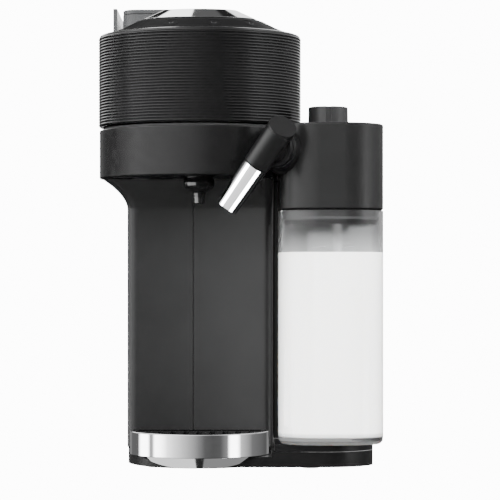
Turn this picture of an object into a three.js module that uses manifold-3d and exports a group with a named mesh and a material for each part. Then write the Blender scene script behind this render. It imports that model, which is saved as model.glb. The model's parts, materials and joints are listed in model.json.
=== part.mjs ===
// Pod coffee machine with a clip-on milk carafe, built as an assembly of separate solids.
// Millimetres, +Z up, +X towards the milk carafe, +Y towards the rear.
// Every sub-part is drawn around the axis of the brewing head, with Z = 0 on the table.
// The last lines move the whole machine so that its footprint is centred on the origin.
import * as THREE from 'three';
import { mergeVertices } from 'three/addons/utils/BufferGeometryUtils.js';
import Module from 'manifold-3d';

const wasm = await Module();
wasm.setup();

// ---------------------------------------------------------------- driving dimensions
const GAP = 0.3; // running gap between neighbouring pieces
const WALL = 2.5; // moulded shell thickness

const FLOOR_GAP = 1.5; // height of the base above the table
const BASE_TOP = 12;
const TONGUE_TOP = 8.8; // low part of the base that carries the drip tray
const SHELF = { left: 52, right: 121, front: -46, rear: 60, corner: 36, top: 17.5 };

const BODY = { left: -51.5, right: 76, split: 110, rear: 308, top: 218, corner: 14 };
const COLUMN = { half: 51.5, front: 5, hollow: 7, seam: -4.8, corner: 6 };
const FLARE = { bottom: 180, top: 200.7, spread: 16.5, power: 1.9 };

const HOUSING = { radius: 70.4, bottom: 201, top: 234.6, cutX: 54, cutY: 22 };
const HEAD = { radius: 71, bottom: 236.9, side: 298.6, top: 301.2, inner: 68, lip: 56 };
// The dome, its buttons and the lever on it all lean forwards together.
const LEAN = { angle: THREE.MathUtils.degToRad(3), z: 312 };
const DOME = {
  outside: [
    [67.9, 302], [63.1, 303.6], [57.7, 305], [53.5, 307], [48.4, 309.3], [44.1, 311.6], [41, 312.5],
  ],
  inside: [[40.2, 310.1], [52.4, 304.7], [65.4, 301.2]],
  top: 312.5,
  skirt: 290,
};
const LEVER = { base: 39.6, top: 26, bottom: 312.8, height: 6.6, shaft: 10, tail: 62 };
const HINGE = { y: 80, z: 230, pin: 3, knuckle: 8, armHalf: 20 };

const DRUM = { radius: 34, cavity: 28, bottom: 204, top: 231, pulley: 30 };
const MOTOR = { y: 52, radius: 18, bottom: 150, top: 200, pulley: 8 };
const PULLEY = { low: 206, high: 213, belt: 1.6 };
const OUTLET = { y: -28, tip: 182.7, spigot: 9 };
const OUTLET_BEAD = [
  [3.9, 182.7], [3.9, 184], [4.4, 190], [6.3, 191.2], [8.8, 193.3], [10.1, 194.5], [10.9, 197.1],
  [10.4, 199.5], [9.6, 200.7],
];

const TRAY = { halfWidth: 48.2, depth: 56, centre: -15, rear: 4.6, low: 9.2, high: 25.4 };
const TONGUE = { halfWidth: 51, depth: 75, centre: 17 };
// The pointed part below the tray's band: half width and depth of its upper and lower outline.
const TRAY_CONE = { top: [42.1, 56], bottom: [34.6, 44.5] };
const CONTAINER = { right: 36, front: 32, rear: 102, low: 22, high: 132 };

const TANK = { left: -62.2, right: 18.4, front: 150, rear: 300, low: 225, high: 334 };
const TANK_RAIL = { outer: -70.1, inner: -66.9, flange: 321.5, top: 340, front: 168, rear: 282 };
const TANK_LID_TOP = 337.6;
const VALVE = { x: -20, y: 225 };

const JUG = { left: 54.7, right: 126.6, front: -70, rear: 14, corner: 28, low: 17.8, high: 177.4 };
const JUG_WALL = 2.2;
const LID = { low: 177.8, high: 236.5, plug: 167.8 };
const KNOB = { x: 89.3, y: -26, radius: 14, low: 236.9, high: 249.6, stem: 6 };
const STEAM = { x: 88, z: 214, radius: 6 };

// The spout turns about the boss, a short axle that leans out of the lid's front left corner.
const BOSS_TURN = THREE.MathUtils.degToRad(23.6); // from straight ahead, towards the head
const SPOUT_PIVOT = new THREE.Vector3(47.6, -79.5, 218.9);
const SPOUT_TILT = THREE.MathUtils.degToRad(37.4); // of the spout, from upright
const SPOUT = { above: 19.5, below: 15.4, reach: 50.5, wide: 9.7, narrow: 8.9, tip: 7.6 };

// ---------------------------------------------------------------- materials
const plastic = (color, roughness) => new THREE.MeshStandardMaterial({ color, roughness });
const SATIN_BLACK = plastic(0x2c2c2e, 0.45);
const GLOSS_BLACK = plastic(0x151516, 0.15);
const DARK_GREY = plastic(0x4a4b4d, 0.5);
const INNER_GREY = plastic(0x8a8c8e, 0.6);
const RUBBER = plastic(0x1b1b1b, 0.9);
const BOARD_GREEN = plastic(0x1f5a37, 0.6);
const CHROME = new THREE.MeshStandardMaterial({ color: 0xdcdcde, roughness: 0.08, metalness: 1 });
const STEEL = new THREE.MeshStandardMaterial({ color: 0xa9adb0, roughness: 0.35, metalness: 1 });
const clear = (color, opacity) =>
  new THREE.MeshStandardMaterial({ color, opacity, transparent: true, roughness: 0.05 });
const CLEAR = clear(0xe8eaea, 0.35);
const SMOKED = clear(0x6b6d70, 0.6);

// ---------------------------------------------------------------- solid modelling helpers
const WELD = 1e-4;

function weld(geometry) {
  const bare = new THREE.BufferGeometry();
  bare.setAttribute('position', geometry.getAttribute('position'));
  bare.setIndex(geometry.index);
  const merged = mergeVertices(bare, WELD);
  const corners = merged.index.array;
  const kept = [];
  for (let i = 0; i < corners.length; i += 3) {
    const [a, b, c] = corners.slice(i, i + 3);
    if (a !== b && b !== c && c !== a) kept.push(a, b, c);
  }
  merged.setIndex(kept);
  return merged;
}

function toSolid(geometry) {
  const merged = weld(geometry);
  return new wasm.Manifold(
    new wasm.Mesh({
      numProp: 3,
      vertProperties: new Float32Array(merged.getAttribute('position').array),
      triVerts: new Uint32Array(merged.index.array),
    }),
  );
}

function toGeometry(solid) {
  const mesh = solid.getMesh();
  const geometry = new THREE.BufferGeometry();
  geometry.setAttribute('position', new THREE.BufferAttribute(mesh.vertProperties, 3));
  geometry.setIndex(new THREE.BufferAttribute(mesh.triVerts, 1));
  return geometry;
}

function combine(operation, first, others) {
  let solid = toSolid(first);
  for (const other of others) solid = solid[operation](toSolid(other));
  return toGeometry(solid);
}
const join = (first, ...others) => combine('add', first, others);
const cut = (first, ...others) => combine('subtract', first, others);
const keep = (first, ...others) => combine('intersect', first, others);

function block([x0, x1], [y0, y1], [z0, z1]) {
  const box = new THREE.BoxGeometry(x1 - x0, y1 - y0, z1 - z0);
  return box.translate((x0 + x1) / 2, (y0 + y1) / 2, (z0 + z1) / 2);
}

function slab(shape, z0, z1, curveSegments = 3) {
  const options = { depth: z1 - z0, bevelEnabled: false, curveSegments };
  return new THREE.ExtrudeGeometry(shape, options).translate(0, 0, z0);
}

// An outline in the Y-Z plane, extruded along X.
function sideSlab(shape, x0, x1) {
  const body = slab(shape, x0, x1);
  return body.rotateX(Math.PI / 2).rotateZ(Math.PI / 2);
}

function disc(radius, z0, z1, x = 0, y = 0, segments = 20) {
  const body = new THREE.CylinderGeometry(radius, radius, z1 - z0, segments);
  return body.rotateX(Math.PI / 2).translate(x, y, (z0 + z1) / 2);
}

// A closed profile of [radius, height] points turned about the vertical axis.
function turned(points, segments = 24) {
  const profile = points.map(([radius, z]) => new THREE.Vector2(radius, z));
  profile.push(profile[0].clone());
  return new THREE.LatheGeometry(profile, segments).rotateX(Math.PI / 2);
}

const UP = new THREE.Vector3(0, 0, 1);

// A straight round bar, or cone, from one point to another.
function bar(from, to, startRadius, endRadius = startRadius, segments = 20) {
  const span = new THREE.Vector3().subVectors(to, from);
  const body = new THREE.CylinderGeometry(endRadius, startRadius, span.length(), segments);
  body.rotateX(Math.PI / 2);
  body.applyQuaternion(new THREE.Quaternion().setFromUnitVectors(UP, span.normalize()));
  return body.translate(...new THREE.Vector3().addVectors(from, to).multiplyScalar(0.5));
}

function hose(points, radius, steps) {
  const path = new THREE.CatmullRomCurve3(points.map((p) => new THREE.Vector3(...p)));
  const ring = new THREE.Shape().absarc(0, 0, radius, 0, 2 * Math.PI);
  const options = { steps, extrudePath: path, bevelEnabled: false, curveSegments: 3 };
  return new THREE.ExtrudeGeometry(ring, options);
}

function roundedBox(left, right, front, rear, corner) {
  const shape = new THREE.Shape();
  shape.absarc(right - corner, front + corner, corner, -Math.PI / 2, 0);
  shape.absarc(right - corner, rear - corner, corner, 0, Math.PI / 2);
  shape.absarc(left + corner, rear - corner, corner, Math.PI / 2, Math.PI);
  shape.absarc(left + corner, front + corner, corner, Math.PI, 1.5 * Math.PI);
  return shape;
}

const insetBox = (box, inset) =>
  roundedBox(box.left + inset, box.right - inset, box.front + inset, box.rear - inset,
    box.corner - inset);

// Joins sections that all have the same number of points, one above another.
function loft(sections) {
  const count = sections[0].outline.length;
  const positions = sections.flatMap(({ z, outline }) => outline.flatMap(([x, y]) => [x, y, z]));
  const index = [];
  for (let level = 0; level < sections.length - 1; level += 1) {
    for (let i = 0; i < count; i += 1) {
      const a = level * count + i;
      const b = level * count + ((i + 1) % count);
      index.push(a, b, b + count, a, b + count, a + count);
    }
  }
  const contour = (section) => section.outline.map(([x, y]) => new THREE.Vector2(x, y));
  const last = (sections.length - 1) * count;
  for (const [a, b, c] of THREE.ShapeUtils.triangulateShape(contour(sections[0]), [])) {
    index.push(c, b, a);
  }
  for (const [a, b, c] of THREE.ShapeUtils.triangulateShape(contour(sections.at(-1)), [])) {
    index.push(last + a, last + b, last + c);
  }
  const geometry = new THREE.BufferGeometry();
  geometry.setAttribute('position', new THREE.Float32BufferAttribute(positions, 3));
  geometry.setIndex(index);
  return geometry;
}

// ---------------------------------------------------------------- the assembly
const assembly = new THREE.Group();

function part(name, geometry, material) {
  const clean = toGeometry(toSolid(geometry));
  clean.computeVertexNormals();
  const mesh = new THREE.Mesh(clean, material);
  mesh.name = name;
  assembly.add(mesh);
  return mesh;
}

// ---------------------------------------------------------------- base, shelf and feet
// The outline of the base: a rounded tongue in front, the carafe shelf, and the rear body.
function baseOutline(inset) {
  const shape = new THREE.Shape();
  const left = BODY.left + inset;
  const right = SHELF.right - inset;
  const rear = BODY.rear - inset;
  const tongueRight = TONGUE.halfWidth - inset;
  const tongueDepth = TONGUE.depth - inset;
  const joinAngle = -Math.asin(Math.min(1, (TONGUE.centre - SHELF.front - inset) / tongueDepth));
  shape.absellipse(0, TONGUE.centre, tongueRight, tongueDepth, Math.PI, 2 * Math.PI + joinAngle);
  const corner = SHELF.corner - inset;
  shape.absarc(right - corner, SHELF.front + inset + corner, corner, -Math.PI / 2, 0);
  shape.lineTo(right, SHELF.rear - inset);
  shape.lineTo(BODY.right - inset, SHELF.rear - inset);
  const bend = BODY.corner - inset;
  shape.absarc(BODY.right - inset - bend, rear - bend, bend, 0, Math.PI / 2);
  shape.absarc(left + bend, rear - bend, bend, Math.PI / 2, Math.PI);
  return shape;
}

const FEET = [
  [-30, -18], [30, -18], [77, -27], [102, 40], [-36, 286], [60, 286],
];
const FOOT = { radius: 6, height: 3.2 };

function addBase() {
  const frontOfBody = TRAY.rear + 1;
  const trayWell = block([-80, SHELF.left - 2], [-90, frontOfBody], [TONGUE_TOP, BASE_TOP + 1]);
  const pocketFloor = 4;
  const pocket = cut(
    slab(baseOutline(WALL), pocketFloor, BASE_TOP + 1, 6),
    block([-80, SHELF.left + 1], [-90, frontOfBody + WALL], [0, BASE_TOP + 2]),
  );
  let base = cut(slab(baseOutline(0), FLOOR_GAP, BASE_TOP, 6), trayWell, pocket);
  for (const [x, y] of FEET) {
    base = cut(base, disc(FOOT.radius + GAP, 0, FOOT.height + GAP, x, y, 20));
  }
  part('base_plate', base, SATIN_BLACK);

  const shelfBottom = BASE_TOP + GAP;
  const shelf = new THREE.Shape();
  shelf.moveTo(SHELF.left, SHELF.front);
  shelf.absarc(SHELF.right - SHELF.corner, SHELF.front + SHELF.corner, SHELF.corner,
    -Math.PI / 2, 0);
  shelf.lineTo(SHELF.right, SHELF.rear);
  shelf.lineTo(SHELF.left, SHELF.rear);
  const dockFoot = block([SHELF.left - 1, BODY.right + GAP], [HOUSING.cutY, 90], [0, 40]);
  part('shelf_cover', cut(slab(shelf, shelfBottom, SHELF.top), dockFoot), SATIN_BLACK);

  FEET.forEach(([x, y], i) => {
    part(`foot_${i + 1}`, disc(FOOT.radius, 0, FOOT.height, x, y, 20), RUBBER);
  });
}

// ---------------------------------------------------------------- column and rear body
const flareAt = (z) => {
  const rise = Math.max(0, (z - FLARE.bottom) / (FLARE.top - FLARE.bottom));
  return FLARE.spread * rise ** FLARE.power;
};

// One level of the column: a hollowed front face between two sides. The sides widen under
// the head, but never past the round housing that stands on them.
function columnOutline(z, inset, rear) {
  const spread = flareAt(z);
  const front = COLUMN.front - spread + inset;
  const narrow = COLUMN.half - inset;
  const wide = narrow + spread;
  const sideX = (y) => {
    const round = Math.sqrt(Math.max(0, (HOUSING.radius - inset) ** 2 - y ** 2));
    return Math.max(narrow, Math.min(wide, round));
  };
  const right = [14, 22, 30, 38, 46, 50, rear].map((y) => [sideX(y), y]);
  const corner = [];
  for (let i = 0; i <= 4; i += 1) {
    const angle = (-Math.PI / 2) * (1 - i / 4);
    const radius = COLUMN.corner;
    corner.push([
      wide - radius + radius * Math.cos(angle),
      front + radius + radius * Math.sin(angle),
    ]);
  }
  const halfFace = wide - COLUMN.corner;
  const face = [];
  for (let i = 1; i < 12; i += 1) {
    const x = halfFace * (i / 6 - 1);
    face.push([x, front + COLUMN.hollow * (1 - (x / halfFace) ** 2)]);
  }
  const rightHalf = [...corner, ...right];
  const leftHalf = rightHalf.map(([x, y]) => [-x, y]).reverse();
  return [...leftHalf, ...face, ...rightHalf];
}

function columnSolid(inset, rear, low, high) {
  const levels = [low, FLARE.bottom, 184, 188, 192, 195, 198, high];
  return loft(levels.map((z) => ({ z, outline: columnOutline(z, inset, rear) })));
}

function addColumn() {
  const low = BASE_TOP + GAP;
  const outer = columnSolid(0, BODY.split, low, FLARE.top);
  const inner = columnSolid(WALL, BODY.split + 5, low - 5, FLARE.top + 2);
  const shell = cut(outer, inner);
  const far = 200;
  const leftHalf = block([-far, COLUMN.seam - GAP / 2], [-far, far], [0, 400]);
  const rightHalf = block([COLUMN.seam + GAP / 2, COLUMN.half], [-far, far], [0, 400]);
  const containerDoor = block([-far, COLUMN.half - 90], [CONTAINER.front - 2.4, CONTAINER.rear + 2.4],
    [CONTAINER.low - 2.4, CONTAINER.high + 4.4]);
  part('column_left', cut(keep(shell, leftHalf), containerDoor), SATIN_BLACK);
  part('column_right', keep(shell, rightHalf), SATIN_BLACK);
}

const RIGHT_SIDE = {
  left: COLUMN.half + GAP, reach: 106, low: 165, high: 232, rear: 80, ductTop: 204,
};

function addRearBody() {
  const low = BASE_TOP + GAP;
  const clearHousing = (extra) =>
    disc(HOUSING.radius + extra, FLARE.top + GAP - extra, 260, 0, 0, 48);

  // The block beside the column that carries the steam connection for the carafe.
  const side = RIGHT_SIDE;
  const dockShape = (inset) => {
    const spanX = [side.left + inset, BODY.right - inset];
    const lower = block(spanX, [HOUSING.cutY + GAP + inset, BODY.split + 2 * inset],
      [inset ? 0 : SHELF.top + GAP, side.ductTop - inset]);
    const upper = block([side.left + inset, side.reach - inset],
      [HOUSING.cutY + GAP + inset, side.rear - inset], [side.low + inset, side.high - inset]);
    return cut(join(lower, upper), clearHousing(GAP + inset));
  };
  const steamHole = bar(new THREE.Vector3(STEAM.x, 0, STEAM.z),
    new THREE.Vector3(STEAM.x, 40, STEAM.z), STEAM.radius + GAP);
  part('dock_housing', cut(dockShape(0), dockShape(WALL), steamHole), SATIN_BLACK);

  const deckFront = 44;
  const deckOuter = block([BODY.left, COLUMN.half], [deckFront, BODY.split],
    [FLARE.top + GAP, BODY.top]);
  const deckInner = block([BODY.left + WALL, COLUMN.half - WALL],
    [deckFront - 5, BODY.split + 5], [FLARE.top - 5, BODY.top - WALL]);
  part('rear_deck', cut(deckOuter, deckInner, clearHousing(GAP)), SATIN_BLACK);

  const coverFront = BODY.rear - 17;
  const housingSpan = [BODY.split + GAP, coverFront - GAP];
  const bodyOuter = block([BODY.left, BODY.right], housingSpan, [low, BODY.top]);
  const bodyInner = block([BODY.left + WALL, BODY.right - WALL],
    [BODY.split - 5, BODY.rear], [low - 5, BODY.top - WALL]);
  const hosePass = disc(9, 200, 230, VALVE.x, VALVE.y);
  const towerPass = block([34, 62], [170, 240], [200, 230]);
  part('rear_housing', cut(bodyOuter, bodyInner, hosePass, towerPass), SATIN_BLACK);

  const cap = { ...BODY, front: coverFront - 60 };
  const ahead = block([-200, 200], [0, coverFront], [0, 300]);
  let cover = cut(
    slab(insetBox(cap, 0), low, BODY.top),
    slab(insetBox(cap, WALL), low - 5, BODY.top - WALL),
    ahead,
  );
  const back = [BODY.rear - WALL - 1, BODY.rear + 1];
  for (let i = 0; i < 9; i += 1) {
    const z = 120 + i * 8;
    cover = cut(cover, block([-30, 50], back, [z, z + 3]));
  }
  const inlet = { left: 26, right: 54, low: 28, high: 50 };
  cover = cut(cover, block([inlet.left - GAP, inlet.right + GAP], back,
    [inlet.low - GAP, inlet.high + GAP]));
  part('rear_cover', cover, SATIN_BLACK);

  const socket = block([inlet.left, inlet.right], [BODY.rear - 18, BODY.rear],
    [inlet.low, inlet.high]);
  const socketMouth = block([inlet.left + 3, inlet.right - 3], [BODY.rear - 14, BODY.rear + 1],
    [inlet.low + 3, inlet.high - 3]);
  part('power_inlet', cut(socket, socketMouth), GLOSS_BLACK);

  const tower = { left: 22, right: 72, front: TANK.front, rear: BODY.rear, corner: 10 };
  const towerLow = BODY.top + GAP;
  const towerHigh = 300;
  const towerShell = cut(
    slab(insetBox(tower, 0), towerLow, towerHigh),
    slab(insetBox(tower, WALL), towerLow - 5, towerHigh + 5),
  );
  part('tower_shell', towerShell, SATIN_BLACK);
  part('tower_cap', slab(insetBox(tower, 0), towerHigh + GAP, towerHigh + 3), SATIN_BLACK);

  const seat = { left: -60, right: 18, front: TANK.front, rear: 302, corner: 10 };
  const seatPlate = cut(slab(insetBox(seat, 0), BODY.top + GAP, TANK.low - GAP),
    disc(8, 200, 240, VALVE.x, VALVE.y));
  part('tank_seat', seatPlate, DARK_GREY);
}

// ---------------------------------------------------------------- brewing head, fixed half
function cornerCut(extra) {
  return block([HOUSING.cutX - extra, 200], [-200, HOUSING.cutY + extra], [150, 260]);
}

function addLowerHead() {
  const outer = cut(disc(HOUSING.radius, HOUSING.bottom, HOUSING.top, 0, 0, 48), cornerCut(0));
  const inner = cut(
    disc(HOUSING.radius - WALL, HOUSING.bottom + WALL, HOUSING.top + 5, 0, 0, 48),
    cornerCut(WALL),
  );
  const outletHole = disc(OUTLET.spigot + GAP, 190, 210, 0, OUTLET.y);
  const shaftHole = disc(5, 190, 210, 0, MOTOR.y);
  part('lower_head_housing', cut(outer, inner, outletHole, shaftHole), SATIN_BLACK);

  const ring = cut(disc(HOUSING.radius - WALL - 0.5, HOUSING.top - 5, HEAD.bottom - 0.6, 0, 0, 48),
    cornerCut(WALL + 0.5), disc(DRUM.radius + 2, 200, 260, 0, 0, 28));
  part('seat_ring', ring, DARK_GREY);

  const outlet = turned([
    [1.8, OUTLET.tip], ...OUTLET_BEAD, [OUTLET.spigot, HOUSING.bottom - GAP],
    [OUTLET.spigot, HOUSING.bottom + 4.4], [1.8, HOUSING.bottom + 4.4],
  ], 20);
  part('coffee_outlet', outlet.translate(0, OUTLET.y, 0), GLOSS_BLACK);
}

function addSpinDrive() {
  const drum = turned([
    [0, DRUM.bottom], [10, DRUM.bottom], [10, PULLEY.low], [DRUM.pulley, PULLEY.low],
    [DRUM.pulley, PULLEY.high], [DRUM.radius, PULLEY.high + 1], [DRUM.radius, DRUM.top],
    [DRUM.cavity + 3, DRUM.top], [DRUM.cavity + 3, DRUM.top - 2], [DRUM.cavity, DRUM.top - 2],
    [DRUM.cavity - 6, PULLEY.high + 2.5], [0, PULLEY.high + 2.5],
  ], 28);
  part('capsule_holder', drum, DARK_GREY);

  const motor = join(
    disc(MOTOR.radius, MOTOR.bottom, MOTOR.top, 0, MOTOR.y),
    disc(2.5, MOTOR.top - 1, PULLEY.low - 1, 0, MOTOR.y, 12),
  );
  part('spin_motor', motor, STEEL);
  const pulley = disc(MOTOR.pulley, PULLEY.low, PULLEY.high, 0, MOTOR.y);
  part('motor_pulley', cut(pulley, block([-1, 1], [MOTOR.y - 1, MOTOR.y + 1], [212, 220])), STEEL);

  // An open belt round both pulleys: two arcs joined by their common tangents.
  const wrap = Math.acos((DRUM.pulley - MOTOR.pulley) / MOTOR.y);
  const beltOutline = (extra) => {
    const path = new THREE.Shape();
    const start = Math.PI / 2 + wrap;
    const sweep = 2 * (Math.PI - wrap);
    path.absarc(0, 0, DRUM.pulley + extra, start, start + sweep);
    path.absarc(0, MOTOR.y, MOTOR.pulley + extra, Math.PI / 2 - wrap, Math.PI / 2 + wrap);
    return path;
  };
  const belt = cut(
    slab(beltOutline(GAP + PULLEY.belt), PULLEY.low + 1, PULLEY.high - 1, 8),
    slab(beltOutline(GAP), PULLEY.low - 1, PULLEY.high + 1, 8),
  );
  part('drive_belt', belt, RUBBER);
}

function addHinge() {
  const pinX = HINGE.armHalf + 8;
  const pin = bar(new THREE.Vector3(-pinX, HINGE.y, HINGE.z),
    new THREE.Vector3(pinX, HINGE.y, HINGE.z), HINGE.pin, HINGE.pin, 20);
  part('hinge_pin', pin, STEEL);

  const bore = bar(new THREE.Vector3(-60, HINGE.y, HINGE.z),
    new THREE.Vector3(60, HINGE.y, HINGE.z), HINGE.pin + GAP, HINGE.pin + GAP, 20);
  const knuckle = (x0, x1) => bar(new THREE.Vector3(x0, HINGE.y, HINGE.z),
    new THREE.Vector3(x1, HINGE.y, HINGE.z), HINGE.knuckle, HINGE.knuckle, 20);
  const footing = BODY.top + GAP;
  let bracket = block([-27, 27], [72.5, 92], [footing, footing + 3]);
  for (const sideSign of [-1, 1]) {
    const inner = sideSign * (HINGE.armHalf + 0.5);
    const outer = sideSign * 27;
    const span = [Math.min(inner, outer), Math.max(inner, outer)];
    const web = block(span, [HINGE.y - 6, HINGE.y + 8], [footing + 1, HINGE.z]);
    bracket = join(bracket, web, knuckle(...span));
  }
  part('hinge_bracket', cut(bracket, bore), DARK_GREY);

  const arm = new THREE.Shape();
  arm.moveTo(58, 243);
  arm.lineTo(72.6, 243);
  arm.lineTo(72.6, HINGE.z);
  arm.absarc(HINGE.y, HINGE.z, HINGE.knuckle - 0.6, Math.PI, 2 * Math.PI);
  arm.lineTo(HINGE.y + HINGE.knuckle - 0.6, 242);
  arm.lineTo(78, 250);
  arm.lineTo(58, 250);
  const half = HINGE.armHalf;
  part('hinge_arm', cut(sideSlab(arm, -half, half), bore), DARK_GREY);
}

// ---------------------------------------------------------------- brewing head, lifting half
const BUTTON = { radius: 5.2, ring: 50, height: 308.6, slope: 0.42, depth: 6 };
const BUTTON_ANGLES = [-112, -78, -44].map((degrees) => THREE.MathUtils.degToRad(degrees));

const lean = (geometry) =>
  geometry.translate(0, 0, -LEAN.z).rotateX(LEAN.angle).translate(0, 0, LEAN.z);

// A button stands square to the dome's slope, at one angle round the ring.
function buttonBar(angle, radius, low, high) {
  const out = new THREE.Vector3(Math.cos(angle), Math.sin(angle), 0);
  const normal = out.clone().multiplyScalar(Math.sin(BUTTON.slope));
  normal.z = Math.cos(BUTTON.slope);
  const seat = out.multiplyScalar(BUTTON.ring);
  seat.z = BUTTON.height;
  return lean(bar(seat.clone().addScaledVector(normal, low),
    seat.clone().addScaledVector(normal, high), radius));
}

function addUpperHead() {
  const notch = block([-HINGE.armHalf - 0.4, HINGE.armHalf + 0.4], [60, 80], [230, 250.3]);
  const shell = turned([
    [HEAD.inner, HEAD.bottom], [HEAD.radius, HEAD.bottom], [HEAD.radius, HEAD.side],
    [HEAD.radius - 0.7, HEAD.side + 1.2], [HEAD.radius - 2.2, HEAD.top], [HEAD.lip, HEAD.top],
    [HEAD.lip, HEAD.top - 3], [HEAD.inner, HEAD.top - 3],
  ], 48);
  part('head_shell', cut(shell, notch), SATIN_BLACK);

  // The leaning dome runs down past the head's flat top, where it is cut off level.
  const shaftHole = LEVER.shaft + 0.4;
  const edge = DOME.outside[0][0];
  const dome = turned([
    [edge, DOME.skirt], ...DOME.outside, [shaftHole, DOME.top],
    [shaftHole, DOME.inside[0][1]], ...DOME.inside, [DOME.inside.at(-1)[0], DOME.skirt],
  ], 40);
  const aboveTop = disc(HEAD.inner, HEAD.top + GAP, LEAN.z + 20, 0, 0, 48);
  const pockets = BUTTON_ANGLES.map((angle) => buttonBar(angle, BUTTON.radius + GAP, -8, 6));
  part('head_dome', cut(keep(lean(dome), aboveTop), ...pockets), GLOSS_BLACK);
  BUTTON_ANGLES.forEach((angle, i) => {
    part(`drink_button_${i + 1}`, buttonBar(angle, BUTTON.radius, -BUTTON.depth, 0.2), GLOSS_BLACK);
  });

  const plate = turned([
    [3, 233.6], [30, 233.6], [30, 237.6], [HEAD.inner - GAP, 237.6],
    [HEAD.inner - GAP, 242.5], [3, 242.5],
  ], 32);
  part('brew_plate', plate, DARK_GREY);
  const needle = turned([[0, 225.5], [2.6, 230.5], [2.6, 255], [0, 255]], 16);
  part('piercing_needle', needle, STEEL);

  const crown = turned([
    [0, 296], [LEVER.shaft, 296], [LEVER.shaft, LEVER.bottom], [LEVER.base, LEVER.bottom],
    [LEVER.base - 0.6, LEVER.bottom + 0.6], [LEVER.top, LEVER.bottom + LEVER.height],
    [0, LEVER.bottom + LEVER.height],
  ], 32);
  const tail = new THREE.Shape();
  tail.moveTo(-11, 10);
  tail.lineTo(11, 10);
  tail.absarc(0, LEVER.tail - 13, 13, -0.2, Math.PI + 0.2);
  const tailBody = slab(tail, LEVER.bottom + 0.4, LEVER.bottom + 4.4);
  part('lock_lever', lean(join(crown, tailBody)), CHROME);
}

// ---------------------------------------------------------------- drip tray and container
const TRAY_STEPS = 12;

function trayOutline(halfWidth, depth, rear) {
  const shape = new THREE.Shape();
  shape.absellipse(0, TRAY.centre, halfWidth, depth, Math.PI, 2 * Math.PI);
  shape.lineTo(halfWidth, rear);
  shape.lineTo(-halfWidth, rear);
  return shape;
}

function trayPoints(halfWidth, depth) {
  const outline = [[-halfWidth, TRAY.rear]];
  const steps = 2 * TRAY_STEPS;
  for (let i = 0; i <= steps; i += 1) {
    const angle = Math.PI * (1 + i / steps);
    outline.push([halfWidth * Math.cos(angle), TRAY.centre + depth * Math.sin(angle)]);
  }
  outline.push([halfWidth, TRAY.rear]);
  return outline;
}

function addDripTray() {
  const band = 2.2;
  const { halfWidth, depth, low, high, rear } = TRAY;
  const ring = cut(
    slab(trayOutline(halfWidth, depth, rear), low, high, TRAY_STEPS),
    slab(trayOutline(halfWidth - band, depth - band, rear + 5), low - 5, high + 5, TRAY_STEPS),
  );
  const cone = loft([
    { z: FLOOR_GAP + GAP, outline: trayPoints(...TRAY_CONE.bottom) },
    { z: low + 0.6, outline: trayPoints(...TRAY_CONE.top) },
  ]);
  const clearance = 0.4;
  const baseSpace = slab(baseOutline(-clearance), 0, low - 0.1, 6);
  const well = slab(trayOutline(halfWidth - band, depth - band, rear + 5), low - GAP, high + 5,
    TRAY_STEPS);
  const skirt = cut(cone, baseSpace, well);
  part('tray_front', join(ring, skirt), CHROME);

  const basinWide = halfWidth - band - 0.4;
  const basinDeep = depth - band - 0.4;
  const basinTop = high - 3.6;
  const basin = cut(
    slab(trayOutline(basinWide, basinDeep, rear), low, basinTop, TRAY_STEPS),
    slab(trayOutline(basinWide - 1.8, basinDeep - 1.8, rear - 1.8), low + 2, basinTop + 5,
      TRAY_STEPS),
  );
  part('drip_basin', basin, SATIN_BLACK);

  let grid = slab(trayOutline(basinWide, basinDeep, rear), basinTop + GAP, basinTop + 2.8,
    TRAY_STEPS);
  for (let i = -4; i <= 4; i += 1) {
    const x = i * 9;
    const reach = basinDeep * Math.sqrt(1 - (x / basinWide) ** 2) - 8;
    grid = cut(grid, block([x - 2, x + 2], [TRAY.centre - reach, rear - 8], [10, 40]));
  }
  part('drip_grid', grid, SATIN_BLACK);
}

function addCapsuleContainer() {
  const { right, front, rear, low, high } = CONTAINER;
  const panelBack = BODY.left + WALL;
  const panel = block([BODY.left, panelBack + 1], [front - 2, rear + 2], [low - 2, high + 4]);
  const box = block([panelBack, right], [front, rear], [low, high]);
  const inside = block([panelBack + 1, right - 2], [front + 2, rear - 2], [low + 2, high + 9]);
  const grip = block([BODY.left - 1, BODY.left + 1.5], [57, 77], [high - 12, high - 2]);
  part('capsule_container', cut(join(panel, box), inside, grip), DARK_GREY);
}

// ---------------------------------------------------------------- water tank
function addWaterTank() {
  const plan = { ...TANK, corner: 12 };
  const wall = 2.2;
  const body = cut(
    slab(insetBox(plan, 0), TANK.low, TANK.high),
    slab(insetBox(plan, wall), TANK.low + wall, TANK.high + 5),
    disc(4, 200, 240, VALVE.x, VALVE.y),
  );
  const rail = TANK_RAIL;
  const flange = block([rail.outer, TANK.left + 1], [rail.front, rail.rear],
    [rail.flange, rail.flange + 1.1]);
  const strip = block([rail.outer, rail.inner], [rail.front, rail.rear],
    [rail.flange, rail.top]);
  part('water_tank', join(body, flange, strip), SMOKED);
  part('tank_lid', slab(insetBox(plan, 0), TANK.high + GAP, TANK_LID_TOP), SMOKED);

  const valve = turned([
    [0, 219.2], [3, 219.2], [3, TANK.low + wall + GAP], [7, TANK.low + wall + GAP],
    [7, TANK.low + wall + 2.6], [0, TANK.low + wall + 2.6],
  ], 20);
  part('tank_valve', valve.translate(VALVE.x, VALVE.y, 0), DARK_GREY);
}

// ---------------------------------------------------------------- milk carafe
const bossOut = new THREE.Vector3(-Math.sin(BOSS_TURN), -Math.cos(BOSS_TURN), 0);
const spoutUp = new THREE.Vector3(-bossOut.y, bossOut.x, 0).multiplyScalar(Math.sin(SPOUT_TILT));
spoutUp.z = Math.cos(SPOUT_TILT);
const alongBoss = (distance) => SPOUT_PIVOT.clone().addScaledVector(bossOut, distance);
const alongSpout = (distance) => SPOUT_PIVOT.clone().addScaledVector(spoutUp, distance);

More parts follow.
